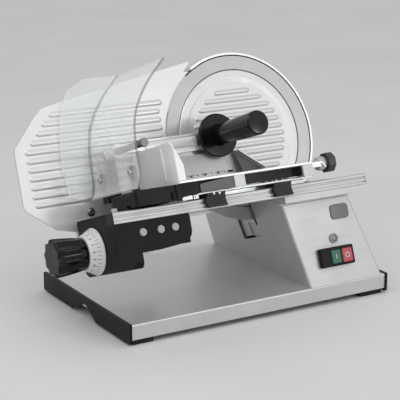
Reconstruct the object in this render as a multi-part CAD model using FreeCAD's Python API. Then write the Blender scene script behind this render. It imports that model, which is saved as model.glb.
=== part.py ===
import FreeCAD, Part
import os
import math

os.makedirs("parts", exist_ok=True)
V = FreeCAD.Vector

# ---------------------------------------------------------------------------
# Gravity-feed table slicer.  Millimetres.
#
# Two working frames are used while building and both are moved to the row
# frame at the end (origin: middle of the whole object's footprint, on the
# surface it stands on; +X along the carriage rail away from the operator,
# +Y from the carriage side to the slice side, +Z up).
#   base frame   x, y, z   tray front left top corner at 0, 0, 0
#   slope frame  x, v, u   base frame turned 20 degrees about X, so that the
#                          blade lies in a plane of constant v, +v points away
#                          from the food and u runs up along the blade
# ---------------------------------------------------------------------------
TILT = 20.0              # lean of blade, gauge plate and housing front

# base
TRAY_L = 430.0           # along the rail
TRAY_D = 269.0           # front to back
TRAY_T = 2.5
FLANGE_H = 22.0
GROUND_Z = -30.0         # underside of the rubber feet
CHEEK_T = 4.0

# motor housing (outer corners)
HX0, HX1 = 295.0, 424.0  # foot, left and right
HL, HR = 0.2128, 0.2956  # lean of the left and right walls towards -X
H_TOP = 118.4            # top above the tray
H_REAR = 0.2309          # lean of the rear wall
H_T = 2.0

# blade
BX, BU = 281.0, 240.0    # blade axis
BLADE_R = 125.0
BLADE_V = 94.0           # plane of the cutting edge
COVER_R = 103.6
RING_RI, RING_RO = 126.7, 130.7

# guide rail
RAIL_X0, RAIL_X1 = -8.5, 412.0
RAIL_V0, RAIL_V1 = -19.0, -1.0
RAIL_U0, RAIL_U1 = 136.8, 153.0

# thickness control
KV, KU = 49.0, 106.6     # knob axis
CAM_R0 = 9.0             # scroll radius when closed
OPEN_MAX = 15.0          # gauge plate travel
OPEN_TURN = 330.0        # knob turn for it

# carriage
TABLE_U = 179.0
CAR_V0, CAR_V1 = -35.0, 90.0
TX0, TX1 = 92.0, 311.0

# drive
MX, MU = 352.0, 118.0    # motor axis
PUL_V0, PUL_V1 = 123.0, 137.0
PUL_R, MPUL_R = 36.0, 9.0
BELT_T = 2.4

# moving the finished nodes to the row frame
OX, OY, OZ = 174.75, 147.45, 30.0


# ------------------------------------------------------------------ helpers
def box(x0, x1, y0, y1, z0, z1):
    return Part.makeBox(x1 - x0, y1 - y0, z1 - z0, V(x0, y0, z0))


def cyl(p, d, r, h):
    return Part.makeCylinder(r, h, V(*p), V(*d))


def cone(p, d, r0, r1, h):
    return Part.makeCone(r0, r1, h, V(*p), V(*d))


def wire2(pts, rad, lift):
    """Closed wire through 2D points with rounded corners; lift maps to 3D."""
    n = len(pts)
    segs = []
    starts, ends, arcs = [], [], []
    for i in range(n):
        p = pts[i]
        r = rad[i] if isinstance(rad, (list, tuple)) else rad
        a = pts[i - 1]
        b = pts[(i + 1) % n]
        ua = (a[0] - p[0], a[1] - p[1])
        ub = (b[0] - p[0], b[1] - p[1])
        la = math.hypot(*ua)
        lb = math.hypot(*ub)
        ua = (ua[0] / la, ua[1] / la)
        ub = (ub[0] / lb, ub[1] / lb)
        c = max(-1.0, min(1.0, ua[0] * ub[0] + ua[1] * ub[1]))
        ang = math.acos(c)
        if r <= 0 or abs(math.pi - ang) < 0.01:
            starts.append(p)
            ends.append(p)
            arcs.append(None)
            continue
        t = r / math.tan(ang / 2)
        lim = 0.49 * min(la, lb)
        if t > lim:
            t = lim
            r = t * math.tan(ang / 2)
        p0 = (p[0] + ua[0] * t, p[1] + ua[1] * t)
        p1 = (p[0] + ub[0] * t, p[1] + ub[1] * t)
        bis = (ua[0] + ub[0], ua[1] + ub[1])
        lbis = math.hypot(*bis)
        bis = (bis[0] / lbis, bis[1] / lbis)
        d = r / math.sin(ang / 2)
        m = (p[0] + bis[0] * (d - r), p[1] + bis[1] * (d - r))
        starts.append(p0)
        ends.append(p1)
        arcs.append(m)
    edges = []
    for i in range(n):
        if arcs[i] is not None:
            edges.append(Part.Arc(lift(*starts[i]), lift(*arcs[i]), lift(*ends[i])).toShape())
        j = (i + 1) % n
        a, b = ends[i], starts[j]
        if math.hypot(a[0] - b[0], a[1] - b[1]) > 1e-6:
            edges.append(Part.makeLine(lift(*a), lift(*b)))
    return Part.Wire(edges)


def plate_xu(pts, v0, v1, rad=0.0):
    """Outline in x, u, thickness along v."""
    f = Part.Face(wire2(pts, rad, lambda a, b: V(a, v0, b)))
    return f.extrude(V(0, v1 - v0, 0))


def plate_vu(pts, x0, x1, rad=0.0):
    f = Part.Face(wire2(pts, rad, lambda a, b: V(x0, a, b)))
    return f.extrude(V(x1 - x0, 0, 0))


def plate_xv(pts, u0, u1, rad=0.0):
    f = Part.Face(wire2(pts, rad, lambda a, b: V(a, b, u0)))
    return f.extrude(V(0, 0, u1 - u0))


def rect(a0, a1, b0, b1):
    return [(a0, b0), (a1, b0), (a1, b1), (a0, b1)]


def turn_v(prof, cx, cu, rad=0.0):
    """Revolve an (r, v) profile about the axis along v through cx, cu."""
    f = Part.Face(wire2(prof, rad, lambda r, v: V(cx + r, v, cu)))
    return f.revolve(V(cx, 0, cu), V(0, 1, 0), 360)


def turn_x(prof, cv, cu, rad=0.0):
    """Revolve an (r, x) profile about the axis along x through cv, cu."""
    f = Part.Face(wire2(prof, rad, lambda r, x: V(x, cv, cu + r)))
    return f.revolve(V(0, cv, cu), V(1, 0, 0), 360)


def fuse(items):
    s = items[0]
    if len(items) > 1:
        s = s.multiFuse(items[1:])
    return s.removeSplitter()


def cut(a, *tools):
    for t in tools:
        a = a.cut(t)
    return a


def comp(items):
    return Part.makeCompound(items)


def hexa(lo, hi):
    """Solid from a bottom and a top quadrilateral (lists of 4 points)."""
    lo = [V(*p) for p in lo]
    hi = [V(*p) for p in hi]

    def q(a, b, c, d):
        return Part.Face(Part.makePolygon([a, b, c, d, a]))
    faces = [q(lo[3], lo[2], lo[1], lo[0]), q(hi[0], hi[1], hi[2], hi[3])]
    for i in range(4):
        j = (i + 1) % 4
        faces.append(q(lo[i], lo[j], hi[j], hi[i]))
    return Part.Solid(Part.Shell(faces))


def soften(shape, r, pick):
    es = [e for e in shape.Edges if pick(e)]
    if not es:
        return shape
    try:
        s = shape.makeFillet(r, es)
        if s.isValid() and s.Volume > 0:
            return s
    except Exception:
        pass
    return shape


def near(e, x=None, y=None, z=None, tol=0.05):
    """True if every vertex of the edge lies on the given coordinates."""
    for p in e.Vertexes:
        for val, want in ((p.X, x), (p.Y, y), (p.Z, z)):
            if want is not None and abs(val - want) > tol:
                return False
    return True


def cap_screw(p, d, r, length, hr, hh, socket=True):
    """Cap screw: head seat at p, shank runs along -d, head along +d."""
    d = V(*d)
    d.normalize()
    p = V(*p)
    s = Part.makeCylinder(r, length, p - d * length, d)
    h = Part.makeCylinder(hr, hh, p, d)
    h = h.makeChamfer(0.12 * hr, [e for e in h.Edges if abs((e.BoundBox.Center - (p + d * hh)).Length) < 0.05 * hr + 0.01])
    s = s.fuse(h)
    if socket:
        n = []
        a = V(1, 0, 0) if abs(d.x) < 0.9 else V(0, 1, 0)
        e1 = d.cross(a)
        e1.normalize()
        e2 = d.cross(e1)
        rr = hr * 0.52
        q = p + d * (hh * 0.45)
        for i in range(6):
            t = math.radians(60 * i)
            n.append(q + e1 * (rr * math.cos(t)) + e2 * (rr * math.sin(t)))
        n.append(n[0])
        s = s.cut(Part.Face(Part.makePolygon(n)).extrude(d * hh))
    return s.removeSplitter()


nodes = {}          # name -> (frame, shape); frame "s" slope, "b" base


def put(name, shape, frame="s"):
    nodes[name] = [frame, shape]


def drill(names, tool):
    """Take the fastener's own shape out of its hosts, so they only touch."""
    for n in names:
        nodes[n][1] = nodes[n][1].cut(tool)


# ===================================================================== BASE
# Tray: folded sheet, flanges front and back, open below.
tray = box(0, TRAY_L, 0, TRAY_D, -TRAY_T, 0)
tray = fuse([tray,
             box(0, TRAY_L, 0, TRAY_T, -FLANGE_H, -TRAY_T),
             box(0, TRAY_L, TRAY_D - TRAY_T, TRAY_D, -FLANGE_H, -TRAY_T),
             box(0, TRAY_T, TRAY_T, TRAY_D - TRAY_T, -16, -TRAY_T),
             box(TRAY_L - TRAY_T, TRAY_L, TRAY_T, TRAY_D - TRAY_T, -16, -TRAY_T)])
tray = soften(tray, 2.0, lambda e: near(e, y=0, z=0) or near(e, y=TRAY_D, z=0))
# wiring opening under the motor housing
tray = tray.cut(box(330, 408, 50, 102, -3, 1))
put("base_tray", tray, "b")

# Side panels with the arched underside.
prof = [(-1.5, 1.2), (270.5, 1.2), (271.0, -27.2), (173, -27.2), (134.7, -8.0), (98.6, -27.2), (-1.5, -27.2)]
side = plate_vu(prof, -CHEEK_T, 0.0, [2.5, 2.5, 3, 6, 9, 6, 3])
put("left_side_panel", side, "b")
side = plate_vu(prof, TRAY_L, TRAY_L + CHEEK_T, [2.5, 2.5, 3, 6, 9, 6, 3])
put("right_side_panel", side, "b")

# Feet: moulded blocks inside the corners with a shallow sole.
feet = []
for (fx0, fx1, fy0, fy1) in ((TRAY_T, 36, TRAY_T, 40), (TRAY_T, 36, 229, TRAY_D - TRAY_T), (386, TRAY_L - TRAY_T, TRAY_T, 40), (386, TRAY_L - TRAY_T, 229, TRAY_D - TRAY_T)):
    f = box(fx0, fx1, fy0, fy1, GROUND_Z, -TRAY_T)
    f = f.cut(box(fx0 + 6, fx1 - 6, fy0 + 6, fy1 - 6, -24, -TRAY_T + 1))
    f = soften(f, 3.0, lambda e: abs(e.BoundBox.ZLength - (-TRAY_T - GROUND_Z)) < 0.01 and abs(e.BoundBox.XLength) < 0.01)
    f = soften(f, 1.2, lambda e: near(e, z=GROUND_Z))
    feet.append(f)
put("rubber_feet", comp(feet), "b")

# Motor housing: folded shell, closed by a plate from below.
def hx0(z):
    return HX0 - HL * z


def hx1(z):
    return HX1 - HR * z


TANF = math.tan(math.radians(TILT))


def hquad(z, dx0, dx1, dy0, dy1):
    y0 = z * TANF
    y1 = TRAY_D + H_REAR * z
    return [(hx0(z) + dx0, y0 + dy0, z), (hx1(z) - dx1, y0 + dy0, z), (hx1(z) - dx1, y1 - dy1, z), (hx0(z) + dx0, y1 - dy1, z)]


outer = hexa(hquad(0.05, 0, 0, 0, 0), hquad(H_TOP, 0, 0, 0, 0))
outer = soften(outer, 3.0, lambda e: e.BoundBox.ZLength > 100)
outer = soften(outer, 2.0, lambda e: near(e, z=H_TOP))
inner = hexa(hquad(-1, H_T, H_T, H_T * 1.06, H_T), hquad(H_TOP - H_T, H_T, H_T, H_T * 1.06, H_T))
shell = outer.cut(inner)
# turned-in foot flange that the screws hold
foot = box(295.5, 423.5, 0.5, 268.5, 0.05, 2.05).cut(box(309, 409, 22, 250, -1, 3))
shell = shell.fuse(foot.common(outer)).removeSplitter()


def s2b(shape):
    """Slope frame to base frame."""
    s = shape.copy()
    s.rotate(V(0, 0, 0), V(1, 0, 0), -TILT)
    return s


# slot for the blade, its guard and the drive arm, open at the left wall
slot = plate_xu([(200, 90.0), (300, 90.0), (352, 108.0), (381, 150), (381, 230), (200, 230)], 88.5, 112.5, [0, 6, 20, 12, 0, 0])
shell = shell.cut(s2b(slot))
wallslot = plate_xu([(240, 88.0), (292, 88.0), (292, 200), (240, 200)], 88.5, 147.0, 0)
shell = shell.cut(s2b(soften(wallslot, 5.0, lambda e: near(e, z=88.0) and e.BoundBox.XLength > 40)))
armslot = plate_xu([(280.5, 140), (375, 140), (364, 240), (270.5, 240)], 117.5, 149.5, 6)
shell = shell.cut(s2b(armslot))
# partition that closes the opening towards the belt case, notched at its foot
part = box(262, 313, 120.0, 121.6, 50, 112).cut(box(270, 300, 119, 123, 88.5, 93.5))
shell = shell.fuse(s2b(part).common(inner)).removeSplitter()
quad = lambda z: [(hx0(z) + 4.4, 20, z), (hx0(z) + 5.8, 20, z), (hx0(z) + 5.8, 240, z), (hx0(z) + 4.4, 240, z)]
slab = hexa(quad(5.0), quad(H_TOP - H_T)).common(s2b(box(262, 330, 86, 152, 82, 122))).cut(s2b(box(262, 330, 116, 146, 80, 91.5))).cut(s2b(box(262, 330, 80, 102, 106, 130)))
shell = shell.fuse(slab).removeSplitter()
# switch, lamp and cable openings
shell = shell.cut(s2b(box(320.6, 373.9, -4, 6, 28, 51.5)))
shell = shell.cut(s2b(cyl((349.5, -4, 66.2), (0, 1, 0), 5.2, 10)))
GL = (392.0, 34.0)
gy = TRAY_D + H_REAR * GL[1]
shell = shell.cut(cyl((GL[0], gy - 8, GL[1]), (0, 1, 0), 8.0, 16))
# ventilation slots in the rear wall
for i in range(7):
    z = 40 + 8.5 * i
    yy = TRAY_D + H_REAR * z
    shell = shell.cut(box(292, 352, yy - 6, yy + 6, z, z + 3.2))
put("motor_housing", shell, "b")

# plate closing the tray opening below the housing
bc = box(322, 414, 42.5, 110, -4.5, -TRAY_T)
for i in range(6):
    bc = bc.cut(box(340 + 10 * i, 345 + 10 * i, 58, 94, -5, -2))
put("housing_bottom_cover", bc, "b")

ROOT_SCREWS = []
cov = comp([cap_screw((x, y, -4.5), (0, 0, -1), 1.6, 4.4, 3.0, 1.6) for (x, y) in ((326.5, 46.5), (409.5, 46.5), (326.5, 106), (409.5, 106))])
hs = comp([cap_screw((x, y, -TRAY_T), (0, 0, -1), 2.0, 4.5, 4.0, 1.6) for (x, y) in ((303.5, 13), (415, 135), (303.5, 257.5), (360, 257.5), (303.5, 135))])
ROOT_SCREWS.append(("b", cov, ["housing_bottom_cover", "base_tray", "motor_housing"]))
ROOT_SCREWS.append(("b", hs, ["base_tray", "motor_housing"]))

sps = []
for y in (48.0, 92.0, 178.0, 220.0):
    sps.append(cap_screw((TRAY_T, y, -9.0), (1, 0, 0), 2.0, 5.3, 4.0, 1.6))
    sps.append(cap_screw((TRAY_L - TRAY_T, y, -9.0), (-1, 0, 0), 2.0, 5.3, 4.0, 1.6))
ROOT_SCREWS.append(("b", comp(sps), ["left_side_panel", "right_side_panel", "base_tray"]))

# ----------------------------------------------------------- control panel
# Switch block: bezel in front of the housing, body behind it, two wells.
sw = box(317.5, 376.0, -8.0, 0, 25.5, 53.8)
sw = soften(sw, 2.5, lambda e: abs(e.BoundBox.YLength - 8.0) < 0.01)
sw = soften(sw, 1.4, lambda e: near(e, y=-8.0))
sw = sw.fuse(box(320.9, 373.6, 0, 24, 28.3, 51.2)).removeSplitter()
GX0, GX1, RX0, RX1 = 334.6, 351.0, 353.8, 371.4
BU0, BU1 = 29.0, 49.4
sw = cut(sw, box(GX0 - 0.4, GX1 + 0.4, -9, 4, BU0 - 0.4, BU1 + 0.4), box(RX0 - 0.4, RX1 + 0.4, -9, 4, BU0 - 0.4, BU1 + 0.4))
sw = cut(sw, cyl(((GX0 + GX1) / 2, 0, (BU0 + BU1) / 2), (0, 1, 0), 3.06, 20), cyl(((RX0 + RX1) / 2, 0, (BU0 + BU1) / 2), (0, 1, 0), 3.06, 20))
put("switch_block", sw)


def button(x0, x1, mark):
    b = box(x0, x1, -10.2, 0.5, BU0, BU1)
    b = soften(b, 1.6, lambda e: abs(e.BoundBox.YLength - 10.7) < 0.01)
    b = soften(b, 1.2, lambda e: near(e, y=-10.2))
    cx, cu = (x0 + x1) / 2, (BU0 + BU1) / 2
    b = b.fuse(cyl((cx, 0.5, cu), (0, 1, 0), 3.0, 15)).removeSplitter()
    if mark == "I":
        b = b.cut(box(cx - 0.7, cx + 0.7, -11, -9.7, cu - 4, cu + 4))
    else:
        ring = cyl((cx, -11, cu), (0, 1, 0), 4.2, 1.3).cut(cyl((cx, -11, cu), (0, 1, 0), 2.9, 1.3))
        b = b.cut(ring)
    return b


put("start_button", button(GX0, GX1, "I"))
put("stop_button", button(RX0, RX1, "O"))

# pilot lamp: chromed ring and lens
LX, LU = 349.5, 66.2
ring = turn_v([(5.3, -2.2), (7.2, -2.2), (7.2, 0.0), (5.0, 0.0), (5.0, 12.0), (4.0, 12.0), (4.0, -0.6), (5.3, -0.6)], LX, LU)
lens = turn_v([(0, -3.0), (2.6, -2.7), (4.4, -1.6), (5.2, -0.7), (3.9, -0.7), (3.9, 8), (0, 8)], LX, LU)
put("pilot_lamp", comp([ring, lens]))

# blank plate on the housing front
bp = plate_xu(rect(352, 384, 93, 115), -1.6, 0, 6.0)
bp = soften(bp, 0.6, lambda e: near(e, y=-1.6))
put("blank_badge_plate", bp)

# cable gland, the object's only electrical inlet
g1 = cyl((GL[0], gy - 6, GL[1]), (0, 1, 0), 7.8, 8.0)
hexp = [V(GL[0] + 11 * math.cos(math.radians(60 * i + 30)), gy + 3.4, GL[1] + 11 * math.sin(math.radians(60 * i + 30))) for i in range(6)]
g2 = Part.Face(Part.makePolygon(hexp + [hexp[0]])).extrude(V(0, 7, 0))
g3 = cyl((GL[0], gy + 10.4, GL[1]), (0, 1, 0), 8.6, 5)
g4 = cone((GL[0], gy + 15.4, GL[1]), (0, 1, 0), 8.6, 6.2, 4)
gland = fuse([g1, cyl((GL[0], gy + 1.9, GL[1]), (0, 1, 0), 7.8, 1.6), g2, g3, g4]).cut(cyl((GL[0], gy - 10, GL[1]), (0, 1, 0), 3.6, 40))
put("cable_gland", gland, "b")

# ===================================================================== RAIL
# Carrier strip, wedge shaped under the rail because the housing top is level.
topu = lambda v: (H_TOP + v * math.sin(math.radians(TILT))) / math.cos(math.radians(TILT))
strip = plate_vu([(-19, 127.2), (-0.4, 127.2), (-0.4, topu(-0.4) + 0.02), (29.4, topu(29.4) + 0.02), (29.4, RAIL_U0), (-18.8, RAIL_U0), (-19, RAIL_U0 - 0.3)], 266.0, 390.5, 0)
put("rail_carrier_strip", strip)

rp = [(RAIL_V0, RAIL_U0), (RAIL_V1, RAIL_U0), (RAIL_V1, RAIL_U1), (RAIL_V0 + 1.2, RAIL_U1), (RAIL_V0, RAIL_U1 - 1.2)]
rail = plate_vu(rp, RAIL_X0, RAIL_X1, [0.8, 0.8, 0.8, 0.5, 0.5])
L = RAIL_X1 - RAIL_X0
grooves = [
    plate_vu([(RAIL_V0 - 1, 144.6), (RAIL_V0 + 1.6, 145.6), (RAIL_V0 + 1.6, 147.6), (RAIL_V0 - 1, 148.6)], RAIL_X0 - 1, RAIL_X1 + 1),
    plate_vu(rect(RAIL_V0 - 1, RAIL_V0 + 2.6, 139.6, 142.0), RAIL_X0 - 1, RAIL_X1 + 1),
    # T slot in the top for the slide keys
    plate_vu(rect(-12.2, -7.8, 149.0, 154), RAIL_X0 - 1, RAIL_X1 + 1),
    plate_vu(rect(-14.0, -6.0, 146.4, 149.6), RAIL_X0 - 1, RAIL_X1 + 1),
    # hollow chamber
    plate_vu(rect(-14.5, -4.0, 138.6, 144.4), RAIL_X0 - 1, RAIL_X1 + 1),
    plate_vu(rect(-3.0, 0, 146.0, 149.0), RAIL_X0 - 1, RAIL_X1 + 1),
]
rail = cut(rail, *grooves)
put("guide_rail", rail)

cap0 = plate_vu(rp, RAIL_X0 - 2.0, RAIL_X0, [0.8, 0.8, 0.8, 0.5, 0.5])
cap1 = plate_vu(rp, RAIL_X1, RAIL_X1 + 2.0, [0.8, 0.8, 0.8, 0.5, 0.5])
cap0 = cap0.fuse(plate_vu(rect(-14.2, -4.3, 138.9, 144.1), RAIL_X0, RAIL_X0 + 6)).removeSplitter()
cap1 = cap1.fuse(plate_vu(rect(-14.2, -4.3, 138.9, 144.1), RAIL_X1 - 6, RAIL_X1)).removeSplitter()
put("rail_end_caps", comp([cap0, cap1]))

# travel stops: a steel dog in the T slot at each end
stops = []
# near end: knurled head that runs through the arch under the end block
s = box(-4.0, 4.0, -13.7, -6.3, 146.7, 148.8).fuse(box(-4.0, 4.0, -12.0, -8.0, 148.8, 153.6))
kh = cyl((-0.2, -9.2, 153.3), (0, 0, 1), 4.2, 5.1)
for i in range(12):
    a = 2 * math.pi * i / 12
    kh = kh.cut(cyl((-0.2 + 4.4 * math.cos(a), -9.2 + 4.4 * math.sin(a), 153.0), (0, 0, 1), 0.5, 6.0))
stops.append(s.fuse(kh).removeSplitter())
# far end: plain dog, flush with the rail's top
stops.append(box(396.2, 404.2, -13.7, -6.3, 146.7, 148.8).fuse(box(396.2, 404.2, -12.0, -8.0, 148.8, 152.8)).removeSplitter())
put("travel_stops", comp(stops))

# bolts up through the carrier strip into the rail
rb = []
for x in (284.0, 372.0):
    rb.append(cap_screw((x, -9.2, 130.6), (0, 0, -1), 2.5, 12.5, 4.2, 3.2))
rb = comp(rb)
ROOT_SCREWS.append(("s", rb, ["rail_carrier_strip", "guide_rail"]))

# ============================================================ GAUGE BRACKET
# Black casting under the free end of the rail: left block with the knob,
# front web with three screws, right guide arm.
left = plate_vu([(-19, 73), (93, 73), (93, 152.9), (-1.0, 152.9), (-1.0, RAIL_U0), (-19, RAIL_U0)], -10.5, 26.0, [10, 14, 4, 0, 0, 2])
front = plate_xu([(-10.5, 73), (3, 73.1), (10.5, 76.5), (18.5, 91.5), (24, 93.6), (56.4, 93.8), (88, 96.7), (104, 103.5), (107, 112), (107, RAIL_U0), (-10.5, RAIL_U0)],
                 -19, -1.0, [3, 5, 9, 5, 4, 10, 16, 8, 4, 3, 0])
arm = plate_vu([(-10, 96.7), (93, 96.7), (93, 124), (60, 130), (-10, 134)], 81.0, 107.0, [0, 5, 5, 8, 0])
brk = fuse([left, front, arm])
# cam chamber, opened from the right and towards the carrier
brk = brk.cut(cyl((-3.5, KV, KU), (1, 0, 0), 28.6, 40))
brk = brk.cut(box(12.5, 30, KV, 94, KU - 7, KU + 7))
brk = soften(brk, 1.5, lambda e: near(e, x=-10.5) and e.BoundBox.DiagonalLength > 20)
put("gauge_bracket", brk)

# chamber cover
cc = cyl((26.0, KV, KU), (1, 0, 0), 33.2, 2.0)
cc = cc.common(box(20, 40, -10, 93, 60, 200))
ccs = comp([cap_screw((28.0, KV + 30.9 * math.cos(math.radians(a)), KU + 30.9 * math.sin(math.radians(a))), (1, 0, 0), 1.0, 8, 1.9, 1.4) for a in (50, 140, 230, 320)])
put("cam_chamber_cover", cc.cut(ccs))
ROOT_SCREWS.append(("s", ccs, ["gauge_bracket"]))

# three visible screws: hold the bracket to the rail's nut bar
bs = []
for x in (32.9, 60.5, 83.0):
    bs.append(cap_screw((x, -17.4, 120.8), (0, -1, 0), 3.0, 13.0, 5.7, 1.3, False))
    nodes["gauge_bracket"][1] = nodes["gauge_bracket"][1].cut(cyl((x, -20.0, 120.8), (0, 1, 0), 6.9, 2.6))
bs = comp(bs)
ROOT_SCREWS.append(("s", bs, ["gauge_bracket"]))

# guide rods of the gauge plate and their bushes
RODS = ((8.0, 143.2), (94.0, 111.0))
bush, rods = [], []
for (x, u) in RODS:
    h0 = -30.0 if x < 50 else -16.0
    nodes["gauge_bracket"][1] = nodes["gauge_bracket"][1].cut(cyl((x, h0, u), (0, 1, 0), 5.8, 100 - h0))
    for (v0, v1) in ((-16.0, 0.0), (77.0, 93.0)):
        if x > 50 and v0 < 0:
            v0, v1 = -15.8, 0.2
        elif v0 < 0:
            v0, v1 = 0.4, 16.0
        b = cyl((x, v0, u), (0, 1, 0), 7.6, v1 - v0)
        nodes["gauge_bracket"][1] = nodes["gauge_bracket"][1].cut(b)
        bush.append(b.cut(cyl((x, v0 - 1, u), (0, 1, 0), 5.06, v1 - v0 + 2)))

# spindle bush
sb = cyl((-10.5, KV, KU), (1, 0, 0), 9.0, 7.0)
nodes["gauge_bracket"][1] = nodes["gauge_bracket"][1].cut(sb)
bush.append(sb.cut(cyl((-20, KV, KU), (1, 0, 0), 6.06, 30)))
put("bronze_bushes", comp(bush))

# ============================================================== THICKNESS KNOB
dial = turn_x([(6.2, -11.0), (33.0, -11.0), (33.0, -12.6), (24.0, -30.0), (6.2, -30.0)], KV, KU, [0, 0.6, 0.8, 0.8, 0])
put("thickness_dial", dial)
kp = [(6.2, -30.2), (22.0, -30.2), (22.6, -32.0), (24.2, -44.0), (26.8, -70.0), (26.4, -74.2), (23.6, -76.6), (0, -76.6), (0, -72.0), (6.2, -72.0)]
knob = turn_x(kp, KV, KU, [0, 1, 2, 8, 3, 2, 1.5, 0, 0, 0])
for i in range(10):
    a = math.radians(36 * i + 6)
    r0, r1 = 27.4, 31.3
    p0 = V(-33.5, KV + r0 * math.cos(a), KU + r0 * math.sin(a))
    p1 = V(-80.0, KV + r1 * math.cos(a), KU + r1 * math.sin(a))
    d = p1 - p0
    c = Part.makeCylinder(6.4, d.Length, p0, d).fuse(Part.makeSphere(6.4, p0))
    knob = knob.cut(c)
put("thickness_knob", knob)
spin = cyl((-72.0, KV, KU), (1, 0, 0), 6.0, 80.0)
spin = spin.cut(box(-72, -40, KV - 7, KV + 7, KU + 5.2, KU + 7))
nodes["thickness_knob"][1] = nodes["thickness_knob"][1].cut(cyl((-72.0, KV, KU), (1, 0, 0), 6.0, 60))
nodes["thickness_dial"][1] = nodes["thickness_dial"][1].cut(cyl((-72.0, KV, KU), (1, 0, 0), 6.0, 80))

# scroll cam: a groove whose radius grows evenly with the turn
cam = cyl((3.0, KV, KU), (1, 0, 0), 27.9, 8.5)
pitch = OPEN_MAX / OPEN_TURN      # mm per degree


def scroll(off, side):
    pts = []
    for k in range(0, 73):
        t = -8.0 + (OPEN_TURN + 16.0) * k / 72.0
        r = CAM_R0 + pitch * t + off
        # the pin sits at +v from the axis; the cam turns about +X by t
        a = math.radians(-t)
        pts.append((KV + r * math.cos(a), KU + r * math.sin(a)))
    return pts


GW = 2.7
po = scroll(GW, 1)
pi = scroll(-GW, -1)
co = Part.BSplineCurve()
co.interpolate([V(6.2, p[0], p[1]) for p in po])
ci = Part.BSplineCurve()
ci.interpolate([V(6.2, p[0], p[1]) for p in pi])
e1, e2 = co.toShape(), ci.toShape()
l1 = Part.makeLine(V(6.2, *po[0]), V(6.2, *pi[0]))
l2 = Part.makeLine(V(6.2, *po[-1]), V(6.2, *pi[-1]))
gf = Part.Face(Part.Wire([e1, l2, e2, l1]))
groove = gf.extrude(V(10, 0, 0))
for k, (a, b) in enumerate(((po[0], pi[0]), (po[-1], pi[-1]))):
    groove = groove.fuse(cyl((6.2, (a[0] + b[0]) / 2, (a[1] + b[1]) / 2), (1, 0, 0), GW, 10))
cam = cam.cut(groove)
put("cam_spindle", cam.fuse(spin).removeSplitter())

# ============================================================== GAUGE PLATE
A0 = 127.6


def arc_x(u):
    return BX - math.sqrt(A0 * A0 - (u - BU) ** 2)


v0, v1 = BLADE_V, BLADE_V + 4.0
P = [(arc_x(347.2), 347.2), (203.2, 348.1), (218.2, 363.4), (-17.5, 320.5), (-33.5, 317.0), (-47.4, 305.6), (-84.5, 263.5),
     (-84.5, 179.5), (-40.2, 145.7), (-13.0, 139.0), (60, 136.0), (arc_x(134.6), 134.6)]
lift = lambda a, b: V(a, v0, b)
edges = []
mid = (BX - A0, BU)
edges.append(Part.Arc(lift(*P[-1]), lift(*mid), lift(*P[0])).toShape())
# rounded polyline for the rest
body = wire2(P, [0, 1.0, 2.0, 8, 8, 10, 12, 10, 10, 8, 0, 0], lift)
gp = Part.Face(body)
disc = Part.Face(Part.Wire([Part.Circle(V(BX, v0, BU), V(0, 1, 0), A0).toShape()]))
gp = gp.cut(disc)
gp = gp.extrude(V(0, v1 - v0, 0))


def left_edge(u):
    pts = [(-13.0, 139.0), (-40.2, 145.7), (-84.5, 179.5), (-84.5, 263.5), (-47.4, 305.6), (-33.5, 317.0), (-17.5, 320.5), (218.2, 363.4)]
    for a, b in zip(pts, pts[1:]):
        if a[1] <= u <= b[1] and b[1] > a[1]:
            return a[0] + (b[0] - a[0]) * (u - a[1]) / (b[1] - a[1])
    return -84.5


RIB_R, RIB_H = 8.0, 1.3
ribs = []
for k in range(11):
    u = 183.0 + 12.4 * k
    xl = max(left_edge(u - 5), left_edge(u + 5)) + 19.0
    xr = min(148.0, arc_x(u) - 8.0) if u < 345 else 190.0
    if u > 300:
        xr = 152.0 + (u - 300) * 0.3
    if xr - xl < 14:
        continue
    vc = BLADE_V - RIB_H + RIB_R
    r = cyl((xl, vc, u), (1, 0, 0), RIB_R, xr - xl)
    r = r.fuse(Part.makeSphere(RIB_R, V(xl, vc, u))).fuse(Part.makeSphere(RIB_R, V(xr, vc, u)))
    r = r.common(box(xl - 8, xr + 8, BLADE_V - 2, BLADE_V + 1.0, u - 6, u + 6))
    ribs.append(r)
clip = plate_xu(P[:-1] + [P[-1]], BLADE_V - 3, BLADE_V + 2, [0, 1.0, 2.0, 8, 8, 10, 12, 10, 10, 8, 0, 0])
ribs = [r.common(clip) for r in ribs]
gp = gp.multiFuse(ribs).removeSplitter()
# folded stiffener along the bottom edge, behind
gp = gp.fuse(box(112, 200, v1, v1 + 9, 134.9, 137.4).common(box(0, 205, 90, 120, 134.8, 140))).removeSplitter()
put("gauge_plate", gp)

# carrier behind the plate with the guide rods
car = plate_xu([(-4, 92), (104, 92), (108, 98), (108, 190), (92, 206), (8, 206), (-8, 190), (-8, 98)], v1, v1 + 8, [6, 6, 6, 10, 10, 10, 10, 6])
for (ua, ub) in ((118.0, 146.0), (156.0, 184.0)):
    car = car.cut(plate_xu(rect(28.0, 74.0, ua, ub), v1 - 1, v1 + 9, 8))
car = car.fuse(plate_vu([(v1 + 8, 100), (v1 + 15, 108), (v1 + 15, 180), (v1 + 8, 196)], -1, 5)).fuse(plate_vu([(v1 + 8, 100), (v1 + 15, 108), (v1 + 15, 180), (v1 + 8, 196)], 95, 101)).removeSplitter()
put("gauge_carrier", car)
rods = []
for (x, u) in RODS:
    r0 = 3.0 if x < 50 else -15.0
    rod = cyl((x, r0, u), (0, 1, 0), 5.0, v1 - r0)
    rod = soften(rod, 1.0, lambda e: near(e, y=r0))
    rods.append(rod.fuse(cyl((x, v1, u), (0, 1, 0), 3.5, 8)).removeSplitter())
rods = comp(rods)
put("guide_rods", rods)
nodes["gauge_plate"][1] = nodes["gauge_plate"][1].cut(comp([cyl((x, 80, u), (0, 1, 0), 5.0, v1 - 80) for (x, u) in RODS]))
drill(["gauge_carrier"], rods)
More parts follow.
